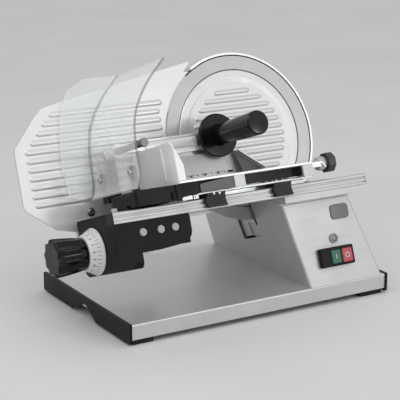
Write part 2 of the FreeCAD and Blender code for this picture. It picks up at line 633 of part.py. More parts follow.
# cam follower: bar from the carrier and its pin
fb = box(13.2, 19.2, KV + 3, v1, KU - 5, KU + 5)
fb = soften(fb, 1.5, lambda e: near(e, y=KV + 3) and e.BoundBox.XLength > 5)
pin = cyl((6.7, KV + CAM_R0, KU), (1, 0, 0), 2.5, 12.5)
put("cam_follower", comp([fb.cut(pin), pin]))
nodes["gauge_plate"][1] = nodes["gauge_plate"][1].cut(box(13.2, 19.2, 80, v1, KU - 5, KU + 5))

gs = []
for (x, u) in ((14.9, 163.3), (86.0, 163.3), (50.0, 151.0)):
    s = turn_v([(0, BLADE_V - 2.6), (3.4, BLADE_V - 2.3), (6.2, BLADE_V - 0.9), (6.6, BLADE_V), (3.0, BLADE_V), (3.0, v1 + 6.5), (0, v1 + 6.5)], x, u)
    s = s.cut(cyl((x, BLADE_V - 4, u), (0, 1, 0), 1.9, 3.2))
    gs.append(s)
gs = comp(gs)
put("gauge_plate_screws", gs)
drill(["gauge_plate", "gauge_carrier"], gs)

# ==================================================================== BLADE
bl = turn_v([(16.0, 104.0), (104.6, 104.0), (104.6, 94.9), (106.0, 94.3), (125.0, 94.0), (125.0, 94.5), (121.0, 97.6), (110.0, 101.0), (106.0, 108.0), (16.0, 108.0)], BX, BU)
put("blade", bl)
hub = turn_v([(6.6, 104.3), (16.0, 104.3), (16.0, 108.0), (31.0, 108.0), (31.0, 113.6), (17.0, 113.6), (12.5, 116.0), (12.5, 184.6), (6.6, 184.6)], BX, BU)
put("blade_shaft", hub)
bsc = []
for i in range(4):
    a = math.radians(45 + 90 * i)
    x, u = BX + 23.5 * math.cos(a), BU + 23.5 * math.sin(a)
    s = turn_v([(0, 104.0), (4.6, 104.0), (2.5, 106.4), (2.5, 113.2), (0, 113.2)], x, u)
    bsc.append(s)
bsc = comp(bsc)
put("blade_screws", bsc)
drill(["blade", "blade_shaft"], bsc)

# pulley on the blade shaft, ribbed belt face
pp = [(12.5, PUL_V0), (PUL_R + 1.6, PUL_V0), (PUL_R + 1.6, PUL_V0 + 1.4), (PUL_R, PUL_V0 + 1.6),
      (PUL_R, PUL_V1 - 1.6), (PUL_R + 1.6, PUL_V1 - 1.4), (PUL_R + 1.6, PUL_V1), (PUL_R - 4, PUL_V1), (PUL_R - 5, PUL_V0 + 5), (20, PUL_V0 + 5), (20, PUL_V1), (12.5, PUL_V1)]
pul = turn_v(pp, BX, BU)
put("blade_pulley", pul)

# stationary cover disc, let into the blade
cv = turn_v([(0, 96.2), (86.0, 96.2), (90.0, 95.0), (94.0, 94.5), (102.6, 94.5), (COVER_R, 95.4), (COVER_R, 97.6), (14.0, 98.6), (14.0, 102.6), (0, 102.6)], BX, BU)
ribs = []
for k in range(-6, 7):
    du = 11.8 * k
    half = math.sqrt(max(0.0, 82.0 ** 2 - (abs(du) + 4.5) ** 2))
    if half < 12:
        continue
    u = BU + du
    vc = 94.7 + 5.8
    r = cyl((BX - half + 5, vc, u), (1, 0, 0), 5.8, 2 * half - 10)
    r = r.fuse(Part.makeSphere(5.8, V(BX - half + 5, vc, u))).fuse(Part.makeSphere(5.8, V(BX + half - 5, vc, u)))
    r = r.common(box(BX - half - 4, BX + half + 4, 94, 97.0, u - 6, u + 6))
    ribs.append(r)
cv = cv.multiFuse(ribs).removeSplitter()
tie = cyl((BX, 98.8, BU), (0, 1, 0), 5.0, 101.2)
tie = tie.fuse(cyl((BX, 98.8, BU), (0, 1, 0), 5.0, 4)).removeSplitter()
put("blade_cover", cv.cut(tie))
put("cover_tie_rod", tie)

# ring guard: rim round the idle part of the edge and a back plate
rim = turn_v([(RING_RI, 93.4), (RING_RO - 0.6, 93.4), (RING_RO, 94.2), (RING_RO, 118.6), (40.0, 118.6), (40.0, 115.6), (RING_RI - 4, 115.6), (RING_RI, 111.6)], BX, BU)
# keep the sector from 120.5 degrees (upper left) clockwise to -52 degrees
def ray(a, r=220):
    return (BX + r * math.cos(math.radians(a)), BU + r * math.sin(math.radians(a)))


sector = [(BX, BU)] + [ray(a) for a in (120.5, 90, 60, 30, 0, -30, -60)]
keep = plate_xu(sector, 90, 125)
mid = cyl((BX, 115.6, BU), (0, 1, 0), 52.0, 3.0)
rim = rim.common(keep).fuse(mid).cut(cyl((BX, 110, BU), (0, 1, 0), 33.5, 12)).removeSplitter()
# it ends just above the top of the housing
above = box(0, 600, -100, 600, H_TOP + 0.4, 600)
above.rotate(V(0, 0, 0), V(1, 0, 0), TILT)
rim = rim.common(above)
put("blade_guard_ring", rim)

# drive arm: a cast case for the belt, with the bearing boss behind
def capsule(r0, r1, v0, v1):
    """Hull of two circles round the blade and motor axes."""
    dx, du = MX - BX, MU - BU
    d = math.hypot(dx, du)
    base = math.atan2(du, dx)
    off = math.acos((r0 - r1) / d)
    a1, a2 = base + off, base - off
    p = [(BX + r0 * math.cos(a1), BU + r0 * math.sin(a1)), (MX + r1 * math.cos(a1), MU + r1 * math.sin(a1)),
         (MX + r1 * math.cos(a2), MU + r1 * math.sin(a2)), (BX + r0 * math.cos(a2), BU + r0 * math.sin(a2))]
    f = lambda q: V(q[0], v0, q[1])
    m0 = (BX - r0 * math.cos(base), BU - r0 * math.sin(base))
    m1 = (MX + r1 * math.cos(base), MU + r1 * math.sin(base))
    w = Part.Wire([Part.makeLine(f(p[0]), f(p[1])), Part.Arc(f(p[1]), f(m1), f(p[2])).toShape(),
                   Part.makeLine(f(p[2]), f(p[3])), Part.Arc(f(p[3]), f(m0), f(p[0])).toShape()])
    return Part.Face(w).extrude(V(0, v1 - v0, 0))


CAS0, CAS1 = 46.0, 32.0
column = plate_vu([(119.0, 119 * TANF + 0.05), (119.0, 105.0), (146.0, 105.0), (146.0, 146 * TANF + 0.05)], MX - 26, MX + 26)
sole = box(MX - 36, MX + 36, 110, 172, 0.05, 6.0)
sole.rotate(V(0, 0, 0), V(1, 0, 0), TILT)
case = fuse([capsule(CAS0, CAS1, 119.0, 146.0), column, sole])
case = soften(case, 4.0, lambda e: near(e, y=146.0) and e.BoundBox.ZMin > 100)
case = case.cut(capsule(CAS0 - 3, CAS1 - 3, 118.0, 140.5))
case = case.fuse(turn_v([(12.0, 146.0), (34.0, 146.0), (30.5, 150.0), (29.0, 184.5), (27.5, 186.0), (12.0, 186.0)], BX, BU))
for a in (20, 100, 180, 260):
    dr = math.radians(a)
    w = plate_vu([(145, BU + 26), (145, BU + 42), (176, BU + 26)], BX - 3, BX + 3)
    w.rotate(V(BX, 0, BU), V(0, 1, 0), a)
    case = case.fuse(w)
case = case.removeSplitter()
case = case.cut(cyl((BX, 140, BU), (0, 1, 0), 13.5, 60))
case = case.cut(cyl((BX, 142.0, BU), (0, 1, 0), 23.5, 14.0))
case = case.cut(cyl((BX, 172.0, BU), (0, 1, 0), 23.5, 15.0))
case = case.cut(cyl((MX, 139, MU), (0, 1, 0), 12.0, 10))
# foot block joining the case to the tray floor inside the housing
put("drive_arm", case)

br = []
for v in (142.0, 172.0):
    o = turn_v([(12.5, v), (15.6, v), (15.6, v + 0.8), (20.4, v + 0.8), (20.4, v), (23.5, v), (23.5, v + 12), (20.4, v + 12), (20.4, v + 11.2), (15.6, v + 11.2), (15.6, v + 12), (12.5, v + 12)], BX, BU)
    br.append(o.cut(cyl((BX, v - 1, BU), (0, 1, 0), 12.55, 14)))
put("blade_bearings", comp(br))
bcap = turn_v([(5.06, 186.0), (28.6, 186.0), (27.6, 190.0), (5.06, 190.0)], BX, BU, [0, 0.8, 1.2, 0])
bcs = comp([cap_screw((BX + 25.0 * math.cos(math.radians(a)), 188.4, BU + 25.0 * math.sin(math.radians(a))), (0, 1, 0), 1.0, 8.0, 1.9, 1.5) for a in (45, 135, 225, 315)])
put("bearing_cap", bcap.cut(bcs))
ROOT_SCREWS.append(("s", bcs, ["drive_arm"]))

# knob on the rear end of the tie rod: undoes the cover disc
ck = turn_v([(0, 190.4), (16.0, 190.4), (21.0, 195.5), (21.0, 208.0), (18.0, 212.0), (0, 213.0)], BX, BU, [0, 1.5, 2.5, 3, 3, 0])
ck = ck.cut(cyl((BX, 180, BU), (0, 1, 0), 5.0, 20.0))
for i in range(8):
    a = math.radians(45 * i)
    ck = ck.cut(cyl((BX + 24.0 * math.cos(a), 190, BU + 24.0 * math.sin(a)), (0, 1, 0), 5.0, 30))
put("cover_release_knob", ck)
nodes["cover_tie_rod"][1] = nodes["cover_tie_rod"][1].common(box(BX - 10, BX + 10, 90, 200.0, BU - 10, BU + 10))

# screws that hold the guard plate on bosses of the drive arm
GS = [ray(a, 47.5) for a in (20, 80, 140, 200)]
bosses = [cyl((x, 119.0, u), (0, 1, 0), 4.4, 27.0) for (x, u) in GS]
nodes["drive_arm"][1] = nodes["drive_arm"][1].multiFuse(bosses).removeSplitter()
gsc = comp([cap_screw((x, 115.6, u), (0, -1, 0), 1.5, 14.0, 2.8, 1.4) for (x, u) in GS])
spac = [cyl((x, 118.6, u), (0, 1, 0), 3.2, 0.4) for (x, u) in GS]
nodes["blade_guard_ring"][1] = nodes["blade_guard_ring"][1].multiFuse(spac).removeSplitter()
ROOT_SCREWS.append(("s", gsc, ["drive_arm", "blade_guard_ring"]))

# ==================================================================== DRIVE
mt = turn_v([(0, 146.0), (30.0, 146.0), (32.0, 149.0), (32.0, 206.0), (29.0, 213.0), (0, 213.0)], MX, MU, [0, 1, 2, 4, 3, 0])
fins = []
for i in range(8):
    fins.append(turn_v([(28, 156 + 6 * i), (34.0, 156 + 6 * i), (34.0, 158.4 + 6 * i), (28, 158.4 + 6 * i)], MX, MU))
mt = mt.multiFuse(fins).removeSplitter()
mt = mt.cut(cyl((MX, 140, MU), (0, 1, 0), 9.0, 69))
mb = comp([cap_screw((MX + 20 * math.cos(math.radians(a)), 140.5, MU + 20 * math.sin(math.radians(a))), (0, -1, 0), 2.0, 16, 3.4, 1.8) for a in (45, 135, 225, 315)])
put("motor", mt.cut(mb))
ROOT_SCREWS.append(("s", mb, ["drive_arm"]))
ab = comp([cap_screw((x, y, -TRAY_T), (0, 0, -1), 2.5, 7.5, 4.5, 2.4) for (x, y) in ((MX - 31, 118), (MX + 31, 118), (MX - 31, 164), (MX + 31, 164))])
ROOT_SCREWS.append(("b", ab, ["base_tray", "drive_arm"]))
msh = fuse([cyl((MX, 120.4, MU), (0, 1, 0), 5.0, 88), cyl((MX, 156, MU), (0, 1, 0), 8.4, 46)])
put("motor_shaft", msh)
mp = turn_v([(5.0, PUL_V0 - 1.5), (MPUL_R + 1.6, PUL_V0 - 1.5), (MPUL_R + 1.6, PUL_V0 + 1.4), (MPUL_R, PUL_V0 + 1.6), (MPUL_R, PUL_V1 - 1.6), (MPUL_R + 1.6, PUL_V1 - 1.4), (MPUL_R + 1.6, PUL_V1), (5.0, PUL_V1)], MX, MU)
put("motor_pulley", mp)
g = 0.15
belt = capsule(PUL_R + g + BELT_T, MPUL_R + g + BELT_T, PUL_V0 + 1.9, PUL_V1 - 1.9).cut(capsule(PUL_R + g, MPUL_R + g, PUL_V0 + 1, PUL_V1 - 1))
put("drive_belt", belt)

# run capacitor lying in its saddle beside the motor
cap = soften(cyl((312.5, 50, 22), (0, 1, 0), 13.0, 52), 1.5, lambda e: True)
cap = fuse([cap, box(310.5, 318, 56, 96, 0.05, 14)])
put("run_capacitor", cap, "b")

# ================================================================= CARRIAGE
# table: bent sheet with a raised front lip and a low rear lip
tb = box(TX0, TX1, CAR_V0, CAR_V1, TABLE_U - 2.0, TABLE_U)
lip = plate_vu([(CAR_V0 - 2, TABLE_U - 2.0), (CAR_V0 + 0.2, TABLE_U - 2.0), (CAR_V0 + 0.2, TABLE_U + 1.6), (CAR_V0 - 2, TABLE_U + 1.6)], TX0 - 1.0, TX1, [0.6, 0, 0.9, 0.9])
tb = fuse([tb, lip])
# tab at the far end that carries the clamping knob: flat, with a low front
# flange whose end hooks down beside the knob
tab = box(TX1 - 1, 327.0, -35.9, -13.0, TABLE_U - 2.0, TABLE_U)
tab = tab.fuse(box(TX1 + 0.3, 326.6, -35.9, -34.7, 171.5, TABLE_U - 2.0))
tab = tab.fuse(plate_xu([(325.0, TABLE_U), (328.0, TABLE_U), (330.6, 177.4), (335.2, 170.6), (333.4, 169.4), (329.2, 175.4), (327.4, 176.8), (325.0, TABLE_U - 2.2)], -35.9, -34.7, [0, 2, 2, 0.4, 0.4, 2, 2, 0]))
tb = tb.fuse(tab).removeSplitter()
put("carriage_table", tb)

# end wall that pushes the food
ew = plate_vu([(CAR_V0, TABLE_U - 2), (CAR_V1 - 4, TABLE_U - 2), (CAR_V1 - 4, 236.0), (CAR_V0, 236.0)], TX0 - 2.0, TX0, [0, 0, 12, 12])
bead = plate_vu([(-4.6, TABLE_U + 5), (0.6, TABLE_U + 5), (2.6, 231), (-2.6, 231)], TX0 - 3.2, TX0 - 1.9, 1.2)
ew = fuse([ew, bead])
fl = plate_xv([(TX0 - 2.0, CAR_V0 - 2), (TX0 + 10, CAR_V0 - 2), (TX0 + 10, CAR_V0), (TX0 - 2.0, CAR_V0)], TABLE_U + 1.7, 226.0, [1.6, 0.6, 0.6, 0])
fl = fl.cut(plate_xu([(TX0 + 0.0, 226), (TX0 + 12, 226), (TX0 + 12, 196)], CAR_V0 - 4, CAR_V0 + 2))
ew = fuse([ew, fl])
put("carriage_end_wall", ew.cut(tb))

# moulded end block below the hand guard, with a nose under the table edge
eb = box(22, 89.8, -33, 42, 155.2, 176.8)
eb = soften(eb, 4.0, lambda e: near(e, x=22) and (near(e, y=-33) or near(e, y=42) or near(e, z=176.8)))
eb = eb.cut(box(25.5, 86.3, -29.5, 38.5, 150, 173.5))
# arch through both side walls for the stop's head
eb = eb.cut(plate_vu([(-14.4, 150), (-4.0, 150), (-4.0, 159.3), (-14.4, 159.3)], 20, 92, [0, 0, 1, 1]))
nose = plate_xu([(85.0, 155.2), (91.0, 155.2), (94.0, 158.8), (117.0, 158.8), (121.4, 163.0), (121.4, 176.4), (85.0, 176.4)], -34.8, -19.4, [0, 1.5, 2, 4, 3, 0, 0])
nose = nose.cut(box(89, 118.6, -32.0, -19.0, 150, 173.6))
for (xr, ur0, ur1, rr) in ((79.0, 157.0, 167.5, 2.0),):
    rb = soften(cyl((xr, -34.0, ur0), (0, 0, 1), rr, ur1 - ur0), 0.8 * rr, lambda e: True)
    nose = nose.fuse(rb)
nose = nose.removeSplitter()
bridge = box(41, 59, 40, 84, 170.5, 176.8)
lugs = []
for v in (-12.0, 68.0):
    lug = box(33.6 if v < 0 else 27.2, 39.0, v - 7, v + 7, 171.0, 212.0)
    lug = soften(lug, 4.0, lambda e: near(e, z=212.0) and e.BoundBox.XLength > 5)
    lugs.append(lug)
lugbase = box(27.2, 57, 58, 75, 170.5, 176.8)
EB_PARTS = [eb, nose, bridge, lugbase] + lugs

# clear hand guard: curved wall and flat wing in one moulding
SP = [(21.5, 0.6), (26.5, 8.0), (29.5, 22.0), (29.8, 45.0), (31.5, 72.0), (38.0, 100.0), (49.5, 122.0), (65.0, 142.0), (80.0, 157.0), (96.0, 171.5)]


def curve_pts(off, skew):
    """Offset the guard profile sideways; skew shifts it along x."""
    out = []
    n = len(SP)
    for i, (x, h) in enumerate(SP):
        a = SP[max(0, i - 1)]
        b = SP[min(n - 1, i + 1)]
        tx, th = b[0] - a[0], b[1] - a[1]
        l = math.hypot(tx, th)
        out.append((x + skew - off * (-th / l), TABLE_U + h - off * (tx / l)))
    return out


def guard_face(v, skew, t):
    a = curve_pts(-t / 2, skew)
    b = curve_pts(t / 2, skew)
    ca = Part.BSplineCurve()
    ca.interpolate([V(p[0], v, p[1]) for p in a])
    cb = Part.BSplineCurve()
    cb.interpolate([V(p[0], v, p[1]) for p in b])
    return Part.Wire([ca.toShape(), Part.makeLine(V(a[-1][0], v, a[-1][1]), V(b[-1][0], v, b[-1][1])), cb.toShape(),
                      Part.makeLine(V(b[0][0], v, b[0][1]), V(a[0][0], v, a[0][1]))])


GT = 3.0
g0 = guard_face(-35.0, 5.5, GT)
g1 = guard_face(89.0, -5.5, GT)
gw = Part.makeLoft([g0, g1], True, True)
# rounded front corners
sidecut = plate_vu([(-40, 170), (-10, 170), (-10, 170.5), (-35.0, TABLE_U + 22), (-40, TABLE_U + 22)], -20, 130, 0)
wing = [(-14.5, TABLE_U + 4.0), (34.0, TABLE_U + 4.0), (60, TABLE_U + 80), (92.0, TABLE_U + 168.6), (92.6, TABLE_U + 172.6), (34.0, TABLE_U + 172.6), (6.0, TABLE_U + 158.0), (-9.0, TABLE_U + 126.0), (-17.0, TABLE_U + 84.0), (-20.0, TABLE_U + 46.0)]
wg = plate_xu(wing, 86.0, 89.0, [10, 0, 0, 0, 1, 26, 18, 30, 40, 30])
# trim the wing along the curved wall
hull = [(p[0], p[1]) for p in curve_pts(0.0, -5.4)]
trim = plate_xu([(hull[0][0], 150)] + hull + [(130, hull[-1][1] + 40), (160, 150)], 84, 91)
wg = wg.cut(trim)
guard = fuse([gw, wg])
put("hand_guard", guard)
put("carriage_end_block", fuse(EB_PARTS).cut(guard))

# guide rod for the pusher, held by one post at its rear end
PR_X, PR_U = 50.0, 239.5
rod = cyl((PR_X, -33.0, PR_U), (0, 1, 0), 5.0, 118.5)
collar = soften(cyl((PR_X, -34.5, PR_U), (0, 1, 0), 6.2, 5.0), 1.0, lambda e: True)
rod = rod.fuse(collar).removeSplitter()
put("pusher_rod", rod)
posts = []
for (va, vb) in ((74.0, 83.5),):
    p = plate_xu([(43.0, 176.8), (57.0, 176.8), (56.0, 232.0), (57.5, 240), (54, 248.0), (46, 248.0), (42.5, 240), (44.0, 232.0)], va, vb, [0, 0, 3, 4, 4, 4, 4, 3])
    posts.append(p)
put("rod_post", posts[0].cut(rod))

# slide beam with two moulded blocks that grip the rail
beam = box(107.0, 320.0, -17.0, 6.0, 158.9, 161.4)
beam = beam.fuse(box(107.0, 320.0, 3.6, 6.0, 153.8, 158.9)).removeSplitter()
beam = beam.fuse(box(107.0, 320.0, 3.6, 6.0, 161.4, 176.9)).removeSplitter()
# end piece and screw tab that show below the end block's nose
beam = fuse([beam, box(100.5, 117.0, -19.3, -13.8, 154.3, 159.6), box(107.0, 117.0, -19.3, -13.8, 158.9, 161.4), box(118.6, 126.4, -19.3, -17.0, 153.9, 160.0)])
put("slide_beam", beam)
sbk = []
for (x0, x1) in ((138.0, 166.5), (250.5, 277.5)):
    b = plate_vu([(-25.5, 138.6), (-20.6, 138.6), (-19.4, 139.9), (-17.0, 140.0), (-17.0, 141.6), (-19.4, 141.7), (-19.4, 153.4), (-11.7, 153.4), (-11.7, 149.5), (-13.4, 149.2), (-13.4, 146.9), (-6.6, 146.9), (-6.6, 149.2), (-8.3, 149.5), (-8.3, 153.4), (-1.5, 153.4), (-1.5, 158.9), (-25.5, 158.9)], x0, x1, 0)
    # front cheek: pointed towards the near end, ribbed along the rail
    ck = plate_xu([(x0, 158.9), (x1, 158.9), (x1 - 1.2, 148.0), (x1 + 1.0, 138.6), (x0 - 0.8, 138.6), (x0 - 5.6, 148.7)], -25.5, -20.7, [1.5, 0.5, 8, 0.5, 1.5, 1.0])
    b = b.cut(box(x0 - 1, x1 + 1, -26, -20.7, 138, 159)).fuse(ck)
    for k in range(5):
        uu = 141.6 + 3.1 * k
        b = b.cut(box(x0 - 8, x1 + 3, -26, -24.6, uu, uu + 1.1))
    sbk.append(b)
sbk = comp(sbk)
put("slide_blocks", sbk)
ssc = []
for (x0, x1) in ((138.0, 166.5), (250.5, 277.5)):
    for xx in (x0 + 8, x1 - 8):
        ssc.append(cap_screw((xx, -14.6, 161.4), (0, 0, 1), 1.6, 6.5, 2.9, 2.2))
# two set screws in the face of the first block, one screw on the beam's tab
for (xx, vf, uu) in ((147.6, -25.5, 157.2), (156.6, -25.5, 157.0)):
    ssc.append(cap_screw((xx, vf, uu), (0, -1, 0), 0.9, 3.6, 1.7, 0.8, False))
ssc.append(cap_screw((122.5, -19.3, 156.5), (0, -1, 0), 0.9, 1.9, 2.0, 1.0, False))
ssc = comp(ssc)
CAR_SCREWS = [(ssc, ["slide_beam", "slide_blocks"])]

# brackets between the slide beam and the table lip
tbk = []
for (x0, x1) in ((177.3, 194.8), (293.6, 310.8)):
    b = box(x0, x1, -37.2, -35.2, 160.6, TABLE_U - 2.0)
    b = b.fuse(box(x0, x1, -37.0, -19.5, 161.4, 163.2)).removeSplitter()
    b = b.fuse(box(x0, x1, -19.6, -3.0, 161.4, 162.6)).removeSplitter()
    b = soften(b, 2.0, lambda e: near(e, z=160.6) and e.BoundBox.YLength > 1 and e.BoundBox.XLength < 0.1)
    tbk.append(b)
uc = box(90.0, 303.6, -19.1, -17.7, 163.4, TABLE_U - 2.0)
uc = uc.fuse(box(90.0, 303.6, -17.8, 3.6, 175.4, TABLE_U - 2.0)).removeSplitter()
sp = plate_xu([(122.0, 161.0), (177.0, 161.0), (177.0, TABLE_U - 2.0), (170.0, TABLE_U - 2.0), (122.0, 172.6)], -36.6, -35.2, [2.2, 0, 0, 4, 3])
sp = sp.fuse(box(124.5, 177.0, -36.6, -18.0, 171.0, 172.2)).removeSplitter()
put("carriage_under_cover", uc.fuse(sp).removeSplitter())

# turned hub on the table's tab and the clamping knob in it
LK_V, LK_U = -24.0, 176.5
hb = turn_x([(0, 321.0), (5.0, 321.0), (5.0, 325.2), (9.4, 327.4), (10.2, 331.0), (10.2, 336.0), (9.0, 340.0), (3.05, 340.0), (3.05, 328.0), (0, 328.0)], LK_V, LK_U, [0, 0.6, 1, 1, 2, 2, 1, 0, 0, 0])
tbk.append(hb)
put("table_brackets", comp(tbk))
nodes["carriage_table"][1] = nodes["carriage_table"][1].cut(hb).cut(cyl((325.2, LK_V, LK_U), (1, 0, 0), 10.2, 3))
oc = []
for i in range(8):
    a = math.radians(45 * i + 22.5)
    oc.append((LK_V + 15.0 * math.cos(a), LK_U + 15.0 * math.sin(a)))
lk = plate_vu(oc, 340.4, 352.9, 1.0)
lk = soften(lk, 1.6, lambda e: near(e, x=352.9))
lk = soften(lk, 1.0, lambda e: near(e, x=340.4))
lk = lk.fuse(cyl((328.6, LK_V, LK_U), (1, 0, 0), 3.0, 12.4)).removeSplitter()
put("lock_knob", lk)

# =================================================================== PUSHER
PV = 74.0                        # plate front face at the stop
GXc, GUc = 219.0, 244.0          # grip axis
SL0 = 46.0
outer_s = turn_v([(5.06, SL0), (10.2, SL0), (10.2, 73.4), (5.06, 73.4)], PR_X, PR_U, 0.0)
# arm from the sleeve over the end wall to the plate
armp = [(54, 241.0), (60, 237.4), (96.5, 237.4), (104.0, 226.0), (208.0, 228.0), (208.0, 251.0), (150, 252.4), (96, 252.0), (58, 249.0), (53, 246.0)]
arm = plate_xu(armp, 66.0, 69.0, [0, 3, 6, 8, 3, 3, 20, 10, 6, 2])
roll = cyl((104.0, 76.0, 241.5), (1, 0, 0), 12.0, 84.0).cut(cyl((103.0, 76.0, 241.5), (1, 0, 0), 10.0, 90.0))
roll = roll.common(box(100, 188, 60, 74.0, 226, 256))
arm = arm.cut(box(104.0, 215, 60, 80, 233.5, 249.5)).fuse(roll).removeSplitter()
web = plate_xu([(52, 241), (58, 241.0), (66, 239), (66, 247.0), (58, 247.4), (52, 246.0)], 52.0, 68.0, 1)
armb = fuse([outer_s, arm, web])
armb = armb.cut(cyl((PR_X, 20, PR_U), (0, 1, 0), 5.06, 80))
put("pusher_arm", armb)

# pusher plate, lower edge toothed
pl = [(96.0, 190.0), (96.0, 247.0), (102.0, 252.0), (196.0, 253.0), (231.0, 262.0), (252.0, 248.0), (252.0, 226.0), (262.0, 216.0), (300.0, 188.0), (300.0, 182.0), (96.0, 182.0)]
pp = plate_xu(pl, PV, PV + 2.0, [0, 4, 4, 10, 16, 14, 8, 10, 4, 1, 1])
for k in range(5):
    x0 = 106.0 + 22.4 * k
    pp = pp.cut(box(x0, x0 + 14.0, PV - 1, PV + 3, 181.0, 187.0))
# forward fold along the slanted edge
d = V(300 - 258, 0, 188 - 219)
fold = Part.Face(Part.makePolygon([V(257.0, PV, 219.0), V(299.0, PV, 188.0), V(300.2, PV, 189.7), V(258.2, PV, 220.7), V(257.0, PV, 219.0)])).extrude(V(0, -7.0, 0))
# lower apron: sheet bowed towards the viewer, closing at the right
ap = Part.makeLoft([
    wire2([(96.0, PV - 14.0), (232.0, PV - 14.0), (250.0, PV - 9.0), (265.0, PV + 0.4), (263.0, PV + 0.4), (248.8, PV - 7.4), (231.6, PV - 12.2), (96.0, PV - 12.2)], 0, lambda a, b: V(a, b, 184.0)),
    wire2([(96.0, PV - 9.0), (224.0, PV - 9.0), (240.0, PV - 6.0), (252.6, PV + 0.4), (250.6, PV + 0.4), (238.8, PV - 4.4), (223.6, PV - 7.2), (96.0, PV - 7.2)], 0, lambda a, b: V(a, b, 221.0)),
], True, True)
# slots along the apron's foot
for (x0, x1) in ((148.6, 153.5), (158.5, 178.7), (182.1, 201.5), (205.9, 224.0), (228.0, 239.5)):
    ap = ap.cut(box(x0, x1, PV - 16, PV - 0.8, 188.6, 191.8))
pp = fuse([pp, fold, ap])

# spikes behind the plate
spk = []
for i, x in enumerate((120, 145, 170, 195, 220, 240)):
    for u in (200.0, 226.0):
        if x > 235 and u > 220:
            continue
        spk.append(cone((x, PV + 2.0, u), (0, 1, 0), 1.6, 0.3, 9.0))
put("pusher_plate", fuse([pp] + spk))

# grip with hand-guard flange, standing off the plate
fl = turn_v([(0, 52.0), (30.5, 52.0), (32.3, 53.6), (32.3, 56.0), (30.5, 57.6), (14.0, 60.0), (13.0, PV), (0, PV)], GXc, GUc, [0, 2, 1.5, 1.5, 2, 3, 0, 0])
gr = turn_v([(0, 52.0), (16.6, 52.0), (15.2, 42.0), (15.6, 20.0), (16.6, -10.0), (17.4, -45.0), (17.4, -57.4), (15.6, -59.4), (0, -60.0)], GXc, GUc, [0, 0, 8, 30, 30, 12, 1.4, 1.4, 0])
put("pusher_grip", fuse([fl, gr]).cut(nodes["pusher_arm"][1]))

# slice deflector: dished sheet behind the open side of the blade
df = turn_v([(37.0, 113.9), (111.0, 113.9), (118.0, 117.5), (121.0, 139.0), (119.4, 139.2), (116.6, 118.6), (110.6, 115.6), (37.0, 115.6)], BX, BU, [0, 6, 6, 0, 0, 5, 5, 0])
df = df.common(plate_xu([(BX, BU)] + [ray(a) for a in (152, 180, 205, 231)], 100, 150))
for (x, u) in GS:
    df = df.cut(cyl((x, 112, u), (0, 1, 0), 3.4, 5))
put("slice_deflector", df)
dsc = comp([cap_screw((BX + 43.0 * math.cos(math.radians(a)), 113.9, BU + 43.0 * math.sin(math.radians(a))), (0, -1, 0), 1.5, 4.6, 2.6, 1.2) for a in (164, 184, 218)])
ROOT_SCREWS.append(("s", dsc, ["slice_deflector", "blade_guard_ring"]))

# hand guard screws
hg = comp([cap_screw((x, v, 204.0), (-1, 0, 0), 2.0, 8.5, 4.2, 2.0) for (x, v) in ((31.2, -12.0), (24.0, 68.0))])
CAR_SCREWS.append((hg, ["hand_guard", "carriage_end_block"]))

# all fasteners of the standing parts
allroot = []
for frame, shape, hosts in ROOT_SCREWS:
    for n in hosts:
        hf = nodes[n][0]
        t = shape.copy()
        if frame == "b" and hf == "s":
            t.rotate(V(0, 0, 0), V(1, 0, 0), TILT)
        if frame == "s" and hf == "b":
            t = s2b(t)
        nodes[n][1] = nodes[n][1].cut(t)
    allroot.append(shape if frame == "b" else s2b(shape))
put("frame_screws", comp(allroot), "b")
for shape, hosts in CAR_SCREWS:
    drill(hosts, shape)
put("carriage_screws", comp([c[0] for c in CAR_SCREWS]))

# ================================================================ WRITE OUT
SKIP = set()
names = sorted(nodes)
lo = [1e9] * 3
hi = [-1e9] * 3
for n in names:
    frame, s = nodes[n]
    s = s.copy()
    if frame == "s":
        s.rotate(V(0, 0, 0), V(1, 0, 0), -TILT)
    s.translate(V(-OX, -OY, OZ))
    solids = [o for o in s.Solids if o.Volume > 0.05]
    if len(solids) == 1:
        s = solids[0]
    else:
        s = Part.makeCompound(solids)
    if not s.isValid():
        print("not valid:", n)
    s.exportStep("parts/%s.step" % n)
    b = s.BoundBox
    lo = [min(lo[0], b.XMin), min(lo[1], b.YMin), min(lo[2], b.ZMin)]
    hi = [max(hi[0], b.XMax), max(hi[1], b.YMax), max(hi[2], b.ZMax)]
    print("%-24s solids %d  volume %9.1f" % (n, len(solids), s.Volume))
print("nodes", len(names))
print("box low  %.3f %.3f %.3f" % tuple(lo))
print("box high %.3f %.3f %.3f" % tuple(hi))
print("middle   %.3f %.3f" % ((lo[0] + hi[0]) / 2, (lo[1] + hi[1]) / 2))
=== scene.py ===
import bpy
import bmesh
import math
import random
from mathutils import Matrix, Vector


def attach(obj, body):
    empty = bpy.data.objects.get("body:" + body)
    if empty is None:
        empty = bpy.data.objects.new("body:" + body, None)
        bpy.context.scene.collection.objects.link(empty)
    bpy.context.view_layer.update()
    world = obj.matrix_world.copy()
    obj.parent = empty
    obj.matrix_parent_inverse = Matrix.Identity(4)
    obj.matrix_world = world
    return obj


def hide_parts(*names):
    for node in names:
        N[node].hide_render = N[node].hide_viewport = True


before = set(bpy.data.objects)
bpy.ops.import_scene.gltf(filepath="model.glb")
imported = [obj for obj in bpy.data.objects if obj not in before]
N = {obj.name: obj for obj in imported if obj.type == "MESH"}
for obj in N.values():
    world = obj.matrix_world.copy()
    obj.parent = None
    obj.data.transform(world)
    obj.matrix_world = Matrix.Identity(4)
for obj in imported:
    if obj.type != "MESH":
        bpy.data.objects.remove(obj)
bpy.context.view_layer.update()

random.seed(11)
SC = bpy.context.scene

